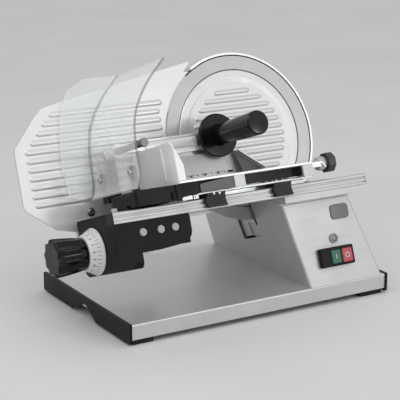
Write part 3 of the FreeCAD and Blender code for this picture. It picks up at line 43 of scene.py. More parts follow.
# ------------------------------------------------------------------ frames
# Lengths below are in millimetres in the slope frame (x, v, u) of the blade
# plane, or in the base frame (x, y, z) of the tray, and go to metres here.
TILT = math.radians(20.0)
CT, ST = math.cos(TILT), math.sin(TILT)
OX, OY, OZ = 174.75, 147.45, 30.0
BX, BU = 281.0, 240.0


def S(x, v, u):
    return Vector(((x - OX) / 1000, (v * CT + u * ST - OY) / 1000, (-v * ST + u * CT + OZ) / 1000))


def B(x, y, z):
    return Vector(((x - OX) / 1000, (y - OY) / 1000, (z + OZ) / 1000))


VDIR = Vector((0, CT, -ST))
UDIR = Vector((0, ST, CT))
XDIR = Vector((1, 0, 0))

# --------------------------------------------------------------- materials


class Mat:
    """A small helper that keeps node code short."""

    def __init__(self, name):
        self.m = bpy.data.materials.new(name)
        self.m.use_nodes = True
        self.t = self.m.node_tree
        self.n = self.t.nodes
        self.l = self.t.links
        self.n.clear()
        self.out = self.n.new("ShaderNodeOutputMaterial")
        self.p = self.n.new("ShaderNodeBsdfPrincipled")
        self.l.new(self.p.outputs[0], self.out.inputs[0])
        self.tc = self.n.new("ShaderNodeTexCoord")

    def set(self, **kw):
        for k, v in kw.items():
            self.p.inputs[k.replace("_", " ")].default_value = v
        return self

    def mapping(self, scale=(1, 1, 1), rot=(0, 0, 0), loc=(0, 0, 0)):
        mp = self.n.new("ShaderNodeMapping")
        mp.inputs["Scale"].default_value = scale
        mp.inputs["Rotation"].default_value = rot
        mp.inputs["Location"].default_value = loc
        self.l.new(self.tc.outputs["Object"], mp.inputs["Vector"])
        return mp.outputs[0]

    def noise(self, vec, scale, detail=3.0, rough=0.5, dist=0.0):
        nz = self.n.new("ShaderNodeTexNoise")
        nz.inputs["Scale"].default_value = scale
        nz.inputs["Detail"].default_value = detail
        nz.inputs["Roughness"].default_value = rough
        nz.inputs["Distortion"].default_value = dist
        self.l.new(vec, nz.inputs["Vector"])
        return nz.outputs["Fac"]

    def ramp(self, fac, stops):
        r = self.n.new("ShaderNodeValToRGB")
        el = r.color_ramp.elements
        while len(el) < len(stops):
            el.new(0.5)
        for e, (p, c) in zip(el, stops):
            e.position = p
            if not isinstance(c, (tuple, list)):
                c = (c, c, c, 1)
            elif len(c) == 3:
                c = (*c, 1)
            e.color = c
        self.l.new(fac, r.inputs[0])
        return r.outputs[0]

    def range(self, fac, a, b, c, d):
        r = self.n.new("ShaderNodeMapRange")
        r.inputs["From Min"].default_value = a
        r.inputs["From Max"].default_value = b
        r.inputs["To Min"].default_value = c
        r.inputs["To Max"].default_value = d
        self.l.new(fac, r.inputs["Value"])
        return r.outputs[0]

    def math(self, op, a, b=None):
        m = self.n.new("ShaderNodeMath")
        m.operation = op
        for i, x in enumerate((a, b)):
            if x is None:
                continue
            if isinstance(x, (int, float)):
                m.inputs[i].default_value = x
            else:
                self.l.new(x, m.inputs[i])
        return m.outputs[0]

    def mix(self, fac, a, b):
        m = self.n.new("ShaderNodeMix")
        m.data_type = "RGBA"
        if isinstance(fac, (int, float)):
            m.inputs[0].default_value = fac
        else:
            self.l.new(fac, m.inputs[0])
        for i, x in ((6, a), (7, b)):
            if isinstance(x, (tuple, list)):
                m.inputs[i].default_value = (*x, 1) if len(x) == 3 else x
            else:
                self.l.new(x, m.inputs[i])
        return m.outputs[2]

    def bump(self, height, strength, dist, normal=None):
        b = self.n.new("ShaderNodeBump")
        b.inputs["Strength"].default_value = strength
        b.inputs["Distance"].default_value = dist
        self.l.new(height, b.inputs["Height"])
        if normal is not None:
            self.l.new(normal, b.inputs["Normal"])
        return b.outputs[0]

    def along(self, axis, origin=(0, 0, 0)):
        """Distance of the shaded point from origin along a direction, in metres."""
        sub = self.n.new("ShaderNodeVectorMath")
        sub.operation = "SUBTRACT"
        sub.inputs[1].default_value = origin
        self.l.new(self.tc.outputs["Object"], sub.inputs[0])
        dot = self.n.new("ShaderNodeVectorMath")
        dot.operation = "DOT_PRODUCT"
        dot.inputs[1].default_value = axis
        self.l.new(sub.outputs[0], dot.inputs[0])
        return dot.outputs["Value"]

    def to(self, out, name):
        self.l.new(out, self.p.inputs[name])
        return self


def brushed(name, lo, hi, rough, along="X", strength=0.10, streak=0.06, metallic=1.0, smudge=0.05, tilt=False):
    """Satin metal with fine drawn lines along one axis and soft smudges."""
    m = Mat(name)
    m.set(Metallic=metallic)
    sc = {"X": (16, 1500, 1500), "Y": (1500, 16, 1500), "Z": (1500, 1500, 16)}[along]
    v = m.mapping(sc, rot=(TILT, 0, 0) if tilt else (0, 0, 0))
    fine = m.noise(v, 1.0, 2.0, 0.6)
    v2 = m.mapping((26, 26, 26))
    cloud = m.noise(v2, 1.0, 4.0, 0.55, 0.3)
    col = m.mix(m.range(cloud, 0.3, 0.7, 0.0, 1.0), lo, hi)
    dark = tuple(c * (1 - streak) for c in lo)
    col = m.mix(m.range(fine, 0.35, 0.75, 0.0, 0.55), col, dark)
    m.to(col, "Base Color")
    r = m.math("ADD", m.range(cloud, 0.25, 0.75, rough - smudge, rough + smudge), m.range(fine, 0.3, 0.7, -0.04, 0.04))
    m.to(r, "Roughness")
    v3 = m.mapping((900, 900, 900))
    grain = m.noise(v3, 1.0, 2.0, 0.5)
    b = m.bump(fine, strength, 0.00004)
    b = m.bump(grain, strength * 0.5, 0.00003, b)
    m.to(b, "Normal")
    return m.m


def cast(name, lo, hi, rough, metallic, grain=0.25, size=900.0, spec=0.5, coat=0.0):
    """Cast or powder coated surface: fine pebbled grain, slight tone drift."""
    m = Mat(name)
    m.set(Metallic=metallic)
    m.p.inputs["Specular IOR Level"].default_value = spec
    if coat:
        m.set(Coat_Weight=coat, Coat_Roughness=0.25)
    g = m.noise(m.mapping((size, size, size)), 1.0, 3.0, 0.6)
    c = m.noise(m.mapping((22, 22, 22)), 1.0, 4.0, 0.6)
    col = m.mix(m.range(c, 0.3, 0.7, 0, 1), lo, hi)
    m.to(col, "Base Color")
    m.to(m.math("ADD", m.range(c, 0.3, 0.7, rough - 0.05, rough + 0.05), m.range(g, 0.3, 0.7, -0.05, 0.05)), "Roughness")
    m.to(m.bump(g, grain, 0.00008), "Normal")
    return m.m


def plastic(name, col, rough=0.4, grain=0.12, size=1600.0, spec=0.5, drift=0.12, sss=0.0):
    m = Mat(name)
    m.p.inputs["Specular IOR Level"].default_value = spec
    g = m.noise(m.mapping((size, size, size)), 1.0, 2.0, 0.5)
    c = m.noise(m.mapping((18, 18, 18)), 1.0, 3.0, 0.5)
    lo = tuple(x * (1 - drift) for x in col)
    hi = tuple(min(1, x * (1 + drift)) for x in col)
    m.to(m.mix(m.range(c, 0.3, 0.7, 0, 1), lo, hi), "Base Color")
    m.to(m.math("ADD", m.range(c, 0.3, 0.7, rough - 0.04, rough + 0.05), m.range(g, 0.3, 0.7, -0.03, 0.03)), "Roughness")
    m.to(m.bump(g, grain, 0.00005), "Normal")
    return m.m


def turned(name, cx, cv, cu, axis, base, rough, freq=900.0, strength=0.15, metallic=1.0, stretch=1.0):
    """Metal ground or turned about an axis: fine rings. axis 'v' or 'x'."""
    m = Mat(name)
    m.set(Metallic=metallic)
    o = S(cx, cv, cu)
    # slope frame: undo the tilt so that the axis is a coordinate axis
    mp = m.n.new("ShaderNodeMapping")
    mp.vector_type = "POINT"
    # move the centre to the origin, then turn
    sub = m.n.new("ShaderNodeVectorMath")
    sub.operation = "SUBTRACT"
    sub.inputs[1].default_value = o
    m.l.new(m.tc.outputs["Object"], sub.inputs[0])
    m.l.new(sub.outputs[0], mp.inputs["Vector"])
    mp.inputs["Rotation"].default_value = (TILT, 0, 0)
    sep = m.n.new("ShaderNodeSeparateXYZ")
    m.l.new(mp.outputs[0], sep.inputs[0])
    a, b = (sep.outputs["X"], sep.outputs["Z"]) if axis == "v" else (sep.outputs["Y"], sep.outputs["Z"])
    rad = m.math("SQRT", m.math("ADD", m.math("MULTIPLY", a, a), m.math("MULTIPLY", b, b)))
    ang = m.math("ARCTAN2", a, b)
    comb = m.n.new("ShaderNodeCombineXYZ")
    m.l.new(m.math("MULTIPLY", rad, freq), comb.inputs[0])
    m.l.new(m.math("MULTIPLY", ang, 1.2 * stretch), comb.inputs[1])
    ring = m.noise(comb.outputs[0], 1.0, 3.0, 0.65)
    c = m.noise(m.mapping((24, 24, 24)), 1.0, 4.0, 0.55)
    lo = tuple(x * 0.93 for x in base)
    m.to(m.mix(m.range(ring, 0.35, 0.7, 0, 1), lo, base), "Base Color")
    m.to(m.math("ADD", m.range(c, 0.3, 0.7, rough - 0.04, rough + 0.05), m.range(ring, 0.3, 0.7, -0.04, 0.04)), "Roughness")
    m.to(m.bump(ring, strength, 0.00003), "Normal")
    return m.m


M = {}
M["sheet"] = brushed("sheet_anodised_grey", (0.49, 0.498, 0.503), (0.535, 0.54, 0.545), 0.46, "X", 0.10, metallic=0.72, streak=0.04)
M["plate"] = brushed("gauge_satin_aluminium", (0.68, 0.685, 0.69), (0.72, 0.725, 0.73), 0.42, "X", 0.07, metallic=0.72, streak=0.03, tilt=True)
M["cover"] = brushed("cover_satin_aluminium", (0.66, 0.665, 0.67), (0.70, 0.705, 0.71), 0.44, "X", 0.06, metallic=0.62, streak=0.03, tilt=True)
M["ring"] = turned("guard_ring_satin", BX, 94, BU, "v", (0.78, 0.785, 0.79), 0.30, metallic=0.9)
M["tray"] = brushed("tray_anodised_grey", (0.65, 0.66, 0.665), (0.70, 0.705, 0.71), 0.40, "X", 0.08, metallic=0.74, streak=0.03)
M["end_wall"] = cast("end_wall_satin", (0.955, 0.96, 0.965), (0.975, 0.975, 0.98), 0.34, 0.0, grain=0.03, size=1500.0)


def ring():
    """Satin guard ring, coloured near black as painted shade where it runs behind the gauge plate."""
    m = Mat("guard_ring")
    v = m.mapping((900, 16, 900), rot=(TILT, 0, 0))
    fine = m.noise(v, 1.0, 2.0, 0.6)
    c = m.noise(m.mapping((24, 24, 24)), 1.0, 4.0, 0.55, 0.3)
    clean = m.mix(m.range(c, 0.3, 0.7, 0, 1), (0.77, 0.775, 0.78), (0.81, 0.815, 0.82))
    # near black and non-metallic behind the gauge plate: painted shade of the gap there
    painted_gap_shade = m.math("MULTIPLY", m.range(m.along(XDIR, S(0, 0, 0)), 0.236, 0.246, 1.0, 0.0), m.range(m.along(UDIR, S(0, 0, 0)), 0.340, 0.352, 1.0, 0.0))
    m.to(m.mix(painted_gap_shade, clean, (0.012, 0.012, 0.0125)), "Base Color")
    m.to(m.range(painted_gap_shade, 0.0, 1.0, 0.9, 0.0), "Metallic")
    m.to(m.math("ADD", m.range(c, 0.25, 0.75, 0.26, 0.36), m.range(fine, 0.3, 0.7, -0.03, 0.03)), "Roughness")
    m.to(m.bump(fine, 0.08, 0.00004), "Normal")
    return m.m


M["ring"] = ring()
M["blade"] = turned("blade_ground_steel", BX, 94, BU, "v", (0.52, 0.525, 0.53), 0.44, freq=1300.0, strength=0.14, metallic=0.62)
M["rail"] = brushed("rail_extruded_aluminium", (0.50, 0.505, 0.51), (0.54, 0.545, 0.55), 0.46, "X", 0.10, streak=0.08, metallic=0.7)
M["stainless"] = brushed("stainless_satin", (0.74, 0.745, 0.75), (0.80, 0.80, 0.805), 0.36, "Y", 0.08, metallic=0.7, streak=0.04, tilt=True)
M["stainless_x"] = brushed("stainless_satin_along", (0.72, 0.725, 0.73), (0.78, 0.78, 0.785), 0.38, "X", 0.08, metallic=0.6, streak=0.04, tilt=True)
M["strap"] = brushed("strap_satin_steel", (0.46, 0.465, 0.47), (0.52, 0.525, 0.53), 0.42, "Y", 0.06, metallic=0.6, streak=0.03, tilt=True)
M["zinc"] = brushed("zinc_plated_steel", (0.50, 0.51, 0.52), (0.58, 0.59, 0.59), 0.36, "X", 0.08, metallic=0.85)
M["steel"] = brushed("turned_steel", (0.42, 0.42, 0.43), (0.50, 0.50, 0.51), 0.30, "Y", 0.10, tilt=True)
M["castalu"] = cast("cast_aluminium", (0.42, 0.425, 0.43), (0.50, 0.505, 0.51), 0.50, 0.9, 0.35, 700.0)
M["black_cast"] = cast("black_powder_coat", (0.008, 0.008, 0.0083), (0.011, 0.011, 0.0115), 0.44, 0.0, 0.30, 1100.0, spec=0.12)
M["black"] = plastic("black_moulded_plastic", (0.008, 0.008, 0.0083), 0.36, 0.14, 1500.0, spec=0.14)
M["black_soft"] = plastic("black_grip_plastic", (0.004, 0.004, 0.0042), 0.15, 0.03, 1200.0, spec=0.24)
M["rubber"] = plastic("black_rubber", (0.014, 0.014, 0.014), 0.62, 0.30, 700.0, spec=0.2)
M["white"] = plastic("white_dial_plastic", (0.72, 0.72, 0.71), 0.38, 0.06, 1300.0, drift=0.03, spec=0.35)
M["bronze"] = cast("sintered_bronze", (0.42, 0.27, 0.10), (0.52, 0.34, 0.14), 0.42, 1.0, 0.2, 1500.0)
M["motor"] = cast("motor_enamel", (0.05, 0.055, 0.06), (0.07, 0.075, 0.08), 0.38, 0.2, 0.2, 800.0)
M["cream"] = plastic("capacitor_plastic", (0.72, 0.72, 0.68), 0.4, 0.1, 1000.0, drift=0.03)
M["ink"] = plastic("black_print", (0.02, 0.02, 0.022), 0.5, 0.05, 2000.0)
M["ink_white"] = plastic("pale_print", (0.70, 0.74, 0.73), 0.5, 0.05, 2000.0, drift=0.02)
M["badge"] = cast("badge_enamel", (0.11, 0.112, 0.115), (0.15, 0.152, 0.155), 0.30, 0.3, 0.12, 1500.0)
M["lamp"] = brushed("lamp_grey", (0.26, 0.27, 0.27), (0.31, 0.32, 0.32), 0.36, "X", 0.04, metallic=0.2)
M["grey_coat"] = brushed("grey_coated_sheet", (0.115, 0.117, 0.117), (0.145, 0.147, 0.147), 0.42, "X", 0.06, metallic=0.25, streak=0.04, tilt=True)
M["dark_coat"] = brushed("dark_coated_sheet", (0.018, 0.018, 0.019), (0.026, 0.026, 0.027), 0.42, "X", 0.06, metallic=0.0, streak=0.04, tilt=True)
M["rod"] = brushed("rod_dark_steel", (0.13, 0.13, 0.135), (0.19, 0.19, 0.195), 0.30, "Y", 0.10, metallic=0.9, tilt=True)


def pusher_sheet():
    """Satin sheet; the pocket between the apron and the slanted fold is coloured near black and less metallic as
    painted shade.
    """
    m = Mat("pusher_satin_sheet")
    v = m.mapping((16, 1500, 1500), rot=(TILT, 0, 0))
    fine = m.noise(v, 1.0, 2.0, 0.6)
    c = m.noise(m.mapping((26, 26, 26)), 1.0, 4.0, 0.55, 0.3)
    nx, nu = 31.0 / 52.2, 42.0 / 52.2
    below = m.range(m.along(XDIR * nx + UDIR * nu, S(257, 0, 219)), -0.0016, -0.0004, 1.0, 0.0)
    right = m.range(m.along(XDIR, S(0, 0, 0)), 0.236, 0.246, 0.0, 1.0)
    front = m.range(m.along(VDIR, S(0, 74.6, 0)), -0.0002, 0.0002, 1.0, 0.0)
    pocket = m.math("MULTIPLY", m.math("MULTIPLY", below, right), front)
    clean = m.mix(m.range(c, 0.3, 0.7, 0, 1), (0.47, 0.475, 0.48), (0.51, 0.515, 0.52))
    # the pocket's near black colour is painted shade between apron and fold
    painted_pocket_shade = m.mix(m.range(c, 0.3, 0.7, 0, 1), (0.055, 0.056, 0.057), (0.085, 0.086, 0.087))
    m.to(m.mix(pocket, clean, painted_pocket_shade), "Base Color")
    m.to(m.range(pocket, 0.0, 1.0, 0.75, 0.25), "Metallic")
    m.to(m.math("ADD", m.range(c, 0.25, 0.75, 0.34, 0.44), m.range(fine, 0.3, 0.7, -0.04, 0.04)), "Roughness")
    m.to(m.bump(fine, 0.08, 0.00004), "Normal")
    return m.m


M["pusher_sheet"] = pusher_sheet()


def ribbed():
    """Black moulding; its ribs are painted paler as a painted highlight and the grooves between them near black as
    painted shade.
    """
    m = Mat("ribbed_black_plastic")
    g = m.noise(m.mapping((1400, 1400, 1400)), 1.0, 2.0, 0.5)
    c = m.noise(m.mapping((50, 50, 50)), 1.0, 3.0, 0.5)
    u = m.math("FRACT", m.math("DIVIDE", m.math("SUBTRACT", m.along(UDIR, S(0, 0, 141.4)), 0.0), 0.0031))
    # paler rib faces are a painted highlight, the near black grooves painted shade
    groove_shade_mask = m.range(u, 0.42, 0.50, 1.0, 0.0)
    front = m.range(m.along(VDIR, S(0, -24.4, 0)), -0.0003, 0.0003, 1.0, 0.0)
    rib_sheen_mask = m.math("MULTIPLY", m.math("SUBTRACT", 1.0, groove_shade_mask), front)
    painted_rib_sheen = m.mix(m.range(c, 0.3, 0.7, 0, 1), (0.030, 0.030, 0.031), (0.046, 0.046, 0.047))
    m.to(m.mix(rib_sheen_mask, (0.006, 0.006, 0.0062), painted_rib_sheen), "Base Color")
    m.to(m.range(g, 0.3, 0.7, 0.34, 0.44), "Roughness")
    m.to(m.bump(g, 0.10, 0.00005), "Normal")
    m.set(Specular_IOR_Level=0.18)
    return m.m


M["screw_dull"] = cast("screw_dull_zinc", (0.34, 0.342, 0.345), (0.40, 0.402, 0.405), 0.50, 0.35, grain=0.08, size=1200.0)
M["ribbed"] = ribbed()
M["knob_grey"] = plastic("lock_knob_plastic", (0.032, 0.032, 0.033), 0.30, 0.10, 1300.0, spec=0.45)


def end_cap():
    """Moulded rail caps: black beside the bracket, grey at the far end."""
    m = Mat("rail_cap_plastic")
    g = m.noise(m.mapping((1300, 1300, 1300)), 1.0, 2.0, 0.5)
    c = m.noise(m.mapping((60, 60, 60)), 1.0, 3.0, 0.5)
    far = m.range(m.along(XDIR, S(0, 0, 0)), 0.19, 0.21, 0.0, 1.0)
    grey = m.mix(m.range(c, 0.3, 0.7, 0, 1), (0.52, 0.525, 0.53), (0.58, 0.585, 0.59))
    m.to(m.mix(far, (0.008, 0.008, 0.0083), grey), "Base Color")
    m.to(m.range(g, 0.3, 0.7, 0.36, 0.46), "Roughness")
    m.to(m.bump(g, 0.08, 0.00005), "Normal")
    m.set(Specular_IOR_Level=0.25)
    return m.m


M["end_cap"] = end_cap()


def lit(name, col, painted_glow, strength):
    m = Mat(name)
    g = m.noise(m.mapping((1400, 1400, 1400)), 1.0, 2.0, 0.5)
    c = m.noise(m.mapping((90, 90, 90)), 1.0, 3.0, 0.5)
    m.to(m.mix(m.range(c, 0.3, 0.7, 0, 1), tuple(x * 0.85 for x in col), col), "Base Color")
    m.to(m.range(g, 0.3, 0.7, 0.20, 0.28), "Roughness")
    m.to(m.bump(g, 0.06, 0.00005), "Normal")
    # the faint emission is a painted glow on the button plastic
    m.set(Emission_Color=(*painted_glow, 1), Emission_Strength=strength, Coat_Weight=0.12, Coat_Roughness=0.10)
    return m.m


M["green"] = lit("green_button_plastic", (0.002, 0.112, 0.070), (0.0, 0.5, 0.25), 0.010)
M["red"] = lit("red_button_plastic", (0.50, 0.05, 0.085), (0.9, 0.06, 0.1), 0.02)


def clear():
    """Clear moulding with a faint milky haze; painted dark lines and painted highlights along its cut rims."""
    m = Mat("clear_polycarbonate")
    m.set(Metallic=0.0, IOR=1.49)
    s1 = m.noise(m.mapping((40, 40, 40)), 1.0, 4.0, 0.6)
    f = m.noise(m.mapping((160, 1200, 300)), 1.0, 2.0, 0.5)
    m.to(m.math("ADD", m.range(s1, 0.35, 0.75, 0.05, 0.12), m.range(f, 0.55, 0.8, 0.0, 0.04)), "Roughness")
    m.to(m.bump(s1, 0.05, 0.0004), "Normal")
    # how far the face turns away from the blade plane's normal
    nd = m.n.new("ShaderNodeVectorMath")
    nd.operation = "DOT_PRODUCT"
    nd.inputs[1].default_value = VDIR
    m.l.new(m.tc.outputs["Normal"], nd.inputs[0])
    side = m.range(m.math("ABSOLUTE", nd.outputs["Value"]), 0.35, 0.6, 1.0, 0.0)
    nu = m.n.new("ShaderNodeVectorMath")
    nu.operation = "DOT_PRODUCT"
    nu.inputs[1].default_value = UDIR
    m.l.new(m.tc.outputs["Normal"], nu.inputs[0])
    foot = m.math("MULTIPLY", m.range(nu.outputs["Value"], -0.85, -0.6, 1.0, 0.0), m.range(m.along(UDIR, S(0, 0, 190)), -0.001, 0.0, 1.0, 0.0))
    vv = m.along(VDIR, S(0, 0, 0))
    front = m.range(vv, -0.0346, -0.0342, 1.0, 0.0)
    rear = m.range(vv, 0.0856, 0.0860, 0.0, 1.0)
    back = m.math("MULTIPLY", rear, side)
    # the wall's own curve, so that its rear edge gets a painted dark line and the wing's rim a painted highlight
    prof = m.ramp(m.range(m.along(UDIR, S(0, 0, 179.0)), 0.0, 0.18, 0.0, 1.0), [(h / 180.0, x / 100.0) for x, h in
                  ((21.5, 0.6), (26.5, 8.0), (29.5, 22.0), (29.8, 45.0), (31.5, 72.0), (38.0, 100.0), (49.5, 122.0), (65.0, 142.0), (80.0, 157.0), (96.0, 171.5))])
    off = m.math("ABSOLUTE", m.math("SUBTRACT", m.math("ADD", m.along(XDIR, S(0, 0, 0)), 0.0055), m.math("MULTIPLY", prof, 0.1)))
    wall = m.math("MULTIPLY", m.range(off, 0.0016, 0.0028, 1.0, 0.0), rear)
    # edge: painted dark rim lines; light: painted highlights on the foot and rear rims
    edge = m.math("MAXIMUM", front, wall)
    light = m.math("MAXIMUM", foot, m.math("MULTIPLY", back, m.math("SUBTRACT", 1.0, wall)))
    col = m.mix(edge, (0.93, 0.94, 0.945), (0.16, 0.165, 0.17))
    m.to(m.mix(light, col, (0.95, 0.955, 0.96)), "Base Color")
    lw = m.n.new("ShaderNodeLayerWeight")
    lw.inputs["Blend"].default_value = 0.30
    fac = m.math("ADD", m.range(lw.outputs["Facing"], 0.15, 0.95, 0.22, 0.46), m.range(s1, 0.4, 0.8, 0.0, 0.04))
    fac = m.math("MAXIMUM", fac, m.math("MULTIPLY", edge, 0.62))
    fac = m.math("MAXIMUM", fac, m.math("MULTIPLY", light, 0.85))
    tr = m.n.new("ShaderNodeBsdfTransparent")
    tr.inputs[0].default_value = (0.985, 0.99, 0.99, 1)
    mx = m.n.new("ShaderNodeMixShader")
    m.l.new(fac, mx.inputs[0])
    m.l.new(tr.outputs[0], mx.inputs[1])
    m.l.new(m.p.outputs[0], mx.inputs[2])
    m.l.new(mx.outputs[0], m.out.inputs[0])
    return m.m


M["clear"] = clear()


def under_cover():
    """Cover below the table: grey front panel; the sheet behind it is near black as painted shade under the table."""
    m = Mat("under_cover_grey_and_painted_shade")
    front = m.range(m.along(VDIR, S(0, -27, 0)), -0.0005, 0.0005, 1.0, 0.0)
    c = m.noise(m.mapping((24, 24, 24)), 1.0, 4.0, 0.55)
    g = m.noise(m.mapping((900, 900, 900)), 1.0, 2.0, 0.5)
    hi = m.mix(m.range(c, 0.3, 0.7, 0, 1), (0.125, 0.128, 0.128), (0.150, 0.152, 0.152))
    # near black behind the front panel: painted shade under the table
    lo = m.mix(m.range(c, 0.3, 0.7, 0, 1), (0.010, 0.010, 0.011), (0.015, 0.015, 0.016))
    m.to(m.mix(front, lo, hi), "Base Color")
    m.to(m.range(c, 0.3, 0.7, 0.40, 0.48), "Roughness")
    m.p.inputs["Specular IOR Level"].default_value = 0.25
    m.to(m.bump(g, 0.06, 0.00004), "Normal")
    return m.m


M["under_cover"] = under_cover()

MATERIAL_OF = {
    "base_tray": "tray", "motor_housing": "sheet", "left_side_panel": "black", "right_side_panel": "black", "rubber_feet": "rubber",
    "housing_bottom_cover": "zinc", "frame_screws": "screw_dull", "switch_block": "black", "pilot_lamp": "lamp", "blank_badge_plate": "badge",
    "cable_gland": "black", "rail_carrier_strip": "rail", "guide_rail": "rail", "rail_end_caps": "end_cap", "travel_stops": "steel",
    "gauge_bracket": "black_cast", "cam_chamber_cover": "black", "bronze_bushes": "bronze", "blade_guard_ring": "ring", "drive_arm": "castalu",
    "blade_bearings": "steel", "bearing_cap": "castalu", "blade_cover": "cover", "motor": "motor", "drive_belt": "rubber", "run_capacitor": "cream",
    "slice_deflector": "stainless", "blade": "blade", "blade_shaft": "steel", "blade_screws": "zinc", "blade_pulley": "castalu",
    "motor_shaft": "steel", "motor_pulley": "steel", "gauge_plate": "plate", "gauge_carrier": "castalu", "guide_rods": "steel",
    "cam_follower": "steel", "gauge_plate_screws": "rod", "thickness_knob": "black_soft", "thickness_dial": "white", "cam_spindle": "steel",
    "carriage_table": "stainless_x", "carriage_end_wall": "end_wall", "carriage_end_block": "black", "hand_guard": "clear", "pusher_rod": "rod",
    "rod_post": "black", "slide_beam": "zinc", "slide_blocks": "ribbed", "carriage_screws": "zinc", "table_brackets": "strap",
    "carriage_under_cover": "under_cover", "lock_knob": "knob_grey", "pusher_arm": "stainless_x", "pusher_plate": "pusher_sheet", "pusher_grip": "black_soft",
    "start_button": "green", "stop_button": "red", "cover_release_knob": "black", "cover_tie_rod": "steel",
}

BEVEL = {
    "base_tray": 0.5, "motor_housing": 0.4, "gauge_bracket": 0.6, "gauge_plate": 0.35, "blade_cover": 0.3, "blade": 0.12, "blade_guard_ring": 0.35,
    "thickness_knob": 0.5, "thickness_dial": 0.3, "pusher_grip": 0.4, "hand_guard": 0.5, "guide_rail": 0.25, "slide_blocks": 0.35,
    "carriage_end_block": 0.6, "rod_post": 0.5, "drive_arm": 0.8, "frame_screws": 0.15, "carriage_screws": 0.15, "lock_knob": 0.5,
}


def finish_cad(o, name):
    """Rounds the node's sharp edges a little and smooths its curved faces."""
    o.data.materials.clear()
    o.data.materials.append(M[MATERIAL_OF[name]])
    w = o.modifiers.new("weld", "WELD")
    w.merge_threshold = 0.00001
    d = o.modifiers.new("planar", "DECIMATE")
    d.decimate_type = "DISSOLVE"
    d.angle_limit = math.radians(0.4)
    b = o.modifiers.new("edges", "BEVEL")
    b.width = BEVEL.get(name, 0.3) / 1000
    b.segments = 2
    b.limit_method = "ANGLE"
    b.angle_limit = math.radians(20 if name == "gauge_plate" else 32)
    b.harden_normals = True
    b.use_clamp_overlap = True
    # flat faces stay flat beside small rounded ones
    w = o.modifiers.new("flat_faces", "WEIGHTED_NORMAL")
    w.mode = "FACE_AREA"
    w.weight = 80
    w.keep_sharp = True
    for p in o.data.polygons:
        p.use_smooth = True


for name, o in N.items():
    finish_cad(o, name)
# light goes straight through the clear moulding
N["hand_guard"].visible_shadow = False


# ------------------------------------------------------------ small pieces
def piece(name, bm, mat, body):
    """New mesh piece that rides on a body."""
    bmesh.ops.recalc_face_normals(bm, faces=bm.faces)
    me = bpy.data.meshes.new(name)
    bm.to_mesh(me)
    bm.free()
    o = bpy.data.objects.new(name, me)
    SC.collection.objects.link(o)
    me.materials.append(M[mat])
    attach(o, body)
    return o


def block(bm, lo, hi, place):
    """Closed box with eight mapped corners."""
    vs = [bm.verts.new(place(x, y, z)) for x in (lo[0], hi[0]) for y in (lo[1], hi[1]) for z in (lo[2], hi[2])]
    for q in ((0, 1, 3, 2), (4, 6, 7, 5), (0, 4, 5, 1), (2, 3, 7, 6), (0, 2, 6, 4), (1, 5, 7, 3)):
        bm.faces.new([vs[i] for i in q])


KV, KU = 49.0, 106.6


def on_cone(t, s, h):
    """Point on the dial's cone: t degrees round the axis, s mm along the slope from the
    large end, h mm off the surface."""
    dx, dr = -17.4, -9.0
    l = math.hypot(dx, dr)
    x = -12.6 + dx / l * s
    r = 33.0 + dr / l * s
    nx, nr = dr / l, -dx / l
    x, r = x + nx * h, r + nr * h
    a = math.radians(t)
    return S(x, KV + r * math.cos(a), KU + r * math.sin(a))


def dial_marks():
    """Sixteen numbers with long strokes, half strokes between, printed on the cone."""
    bm = bmesh.new()
    step = 21.5
    for k in range(31):
        t = 10.0 + step / 2 * k
        s1 = 11.6 if k % 2 == 0 else 9.2
        w = 0.42 / 29.0 * 57.3
        block(bm, (-w / 2, 4.2, 0.0), (w / 2, s1, 0.16), lambda a, b, c, t=t: on_cone(t + a, b, c))
    for k in range(16):
        t = 10.0 + step * k
        cu = bpy.data.curves.new("digits", "FONT")
        cu.body = str(k)
        cu.size = 4.4
        cu.align_x = "CENTER"
        cu.align_y = "CENTER"
        cu.resolution_u = 3
        cu.extrude = 0.06
        cu.offset = 0.10
        ob = bpy.data.objects.new("digits", cu)
        SC.collection.objects.link(ob)
        me = bpy.data.meshes.new_from_object(ob.evaluated_get(bpy.context.evaluated_depsgraph_get()))
        base = len(bm.verts)
        for v in me.vertices:
            v.co = on_cone(t - v.co.x / 26.5 * 57.3, 14.2 - v.co.y, v.co.z + 0.12)
        bm.from_mesh(me)
        bpy.data.objects.remove(ob)
        bpy.data.curves.remove(cu)
        bpy.data.meshes.remove(me)
    bmesh.ops.remove_doubles(bm, verts=bm.verts, dist=1e-7)
    return piece("dial_marks", bm, "ink", "thickness_control")


dial_marks()


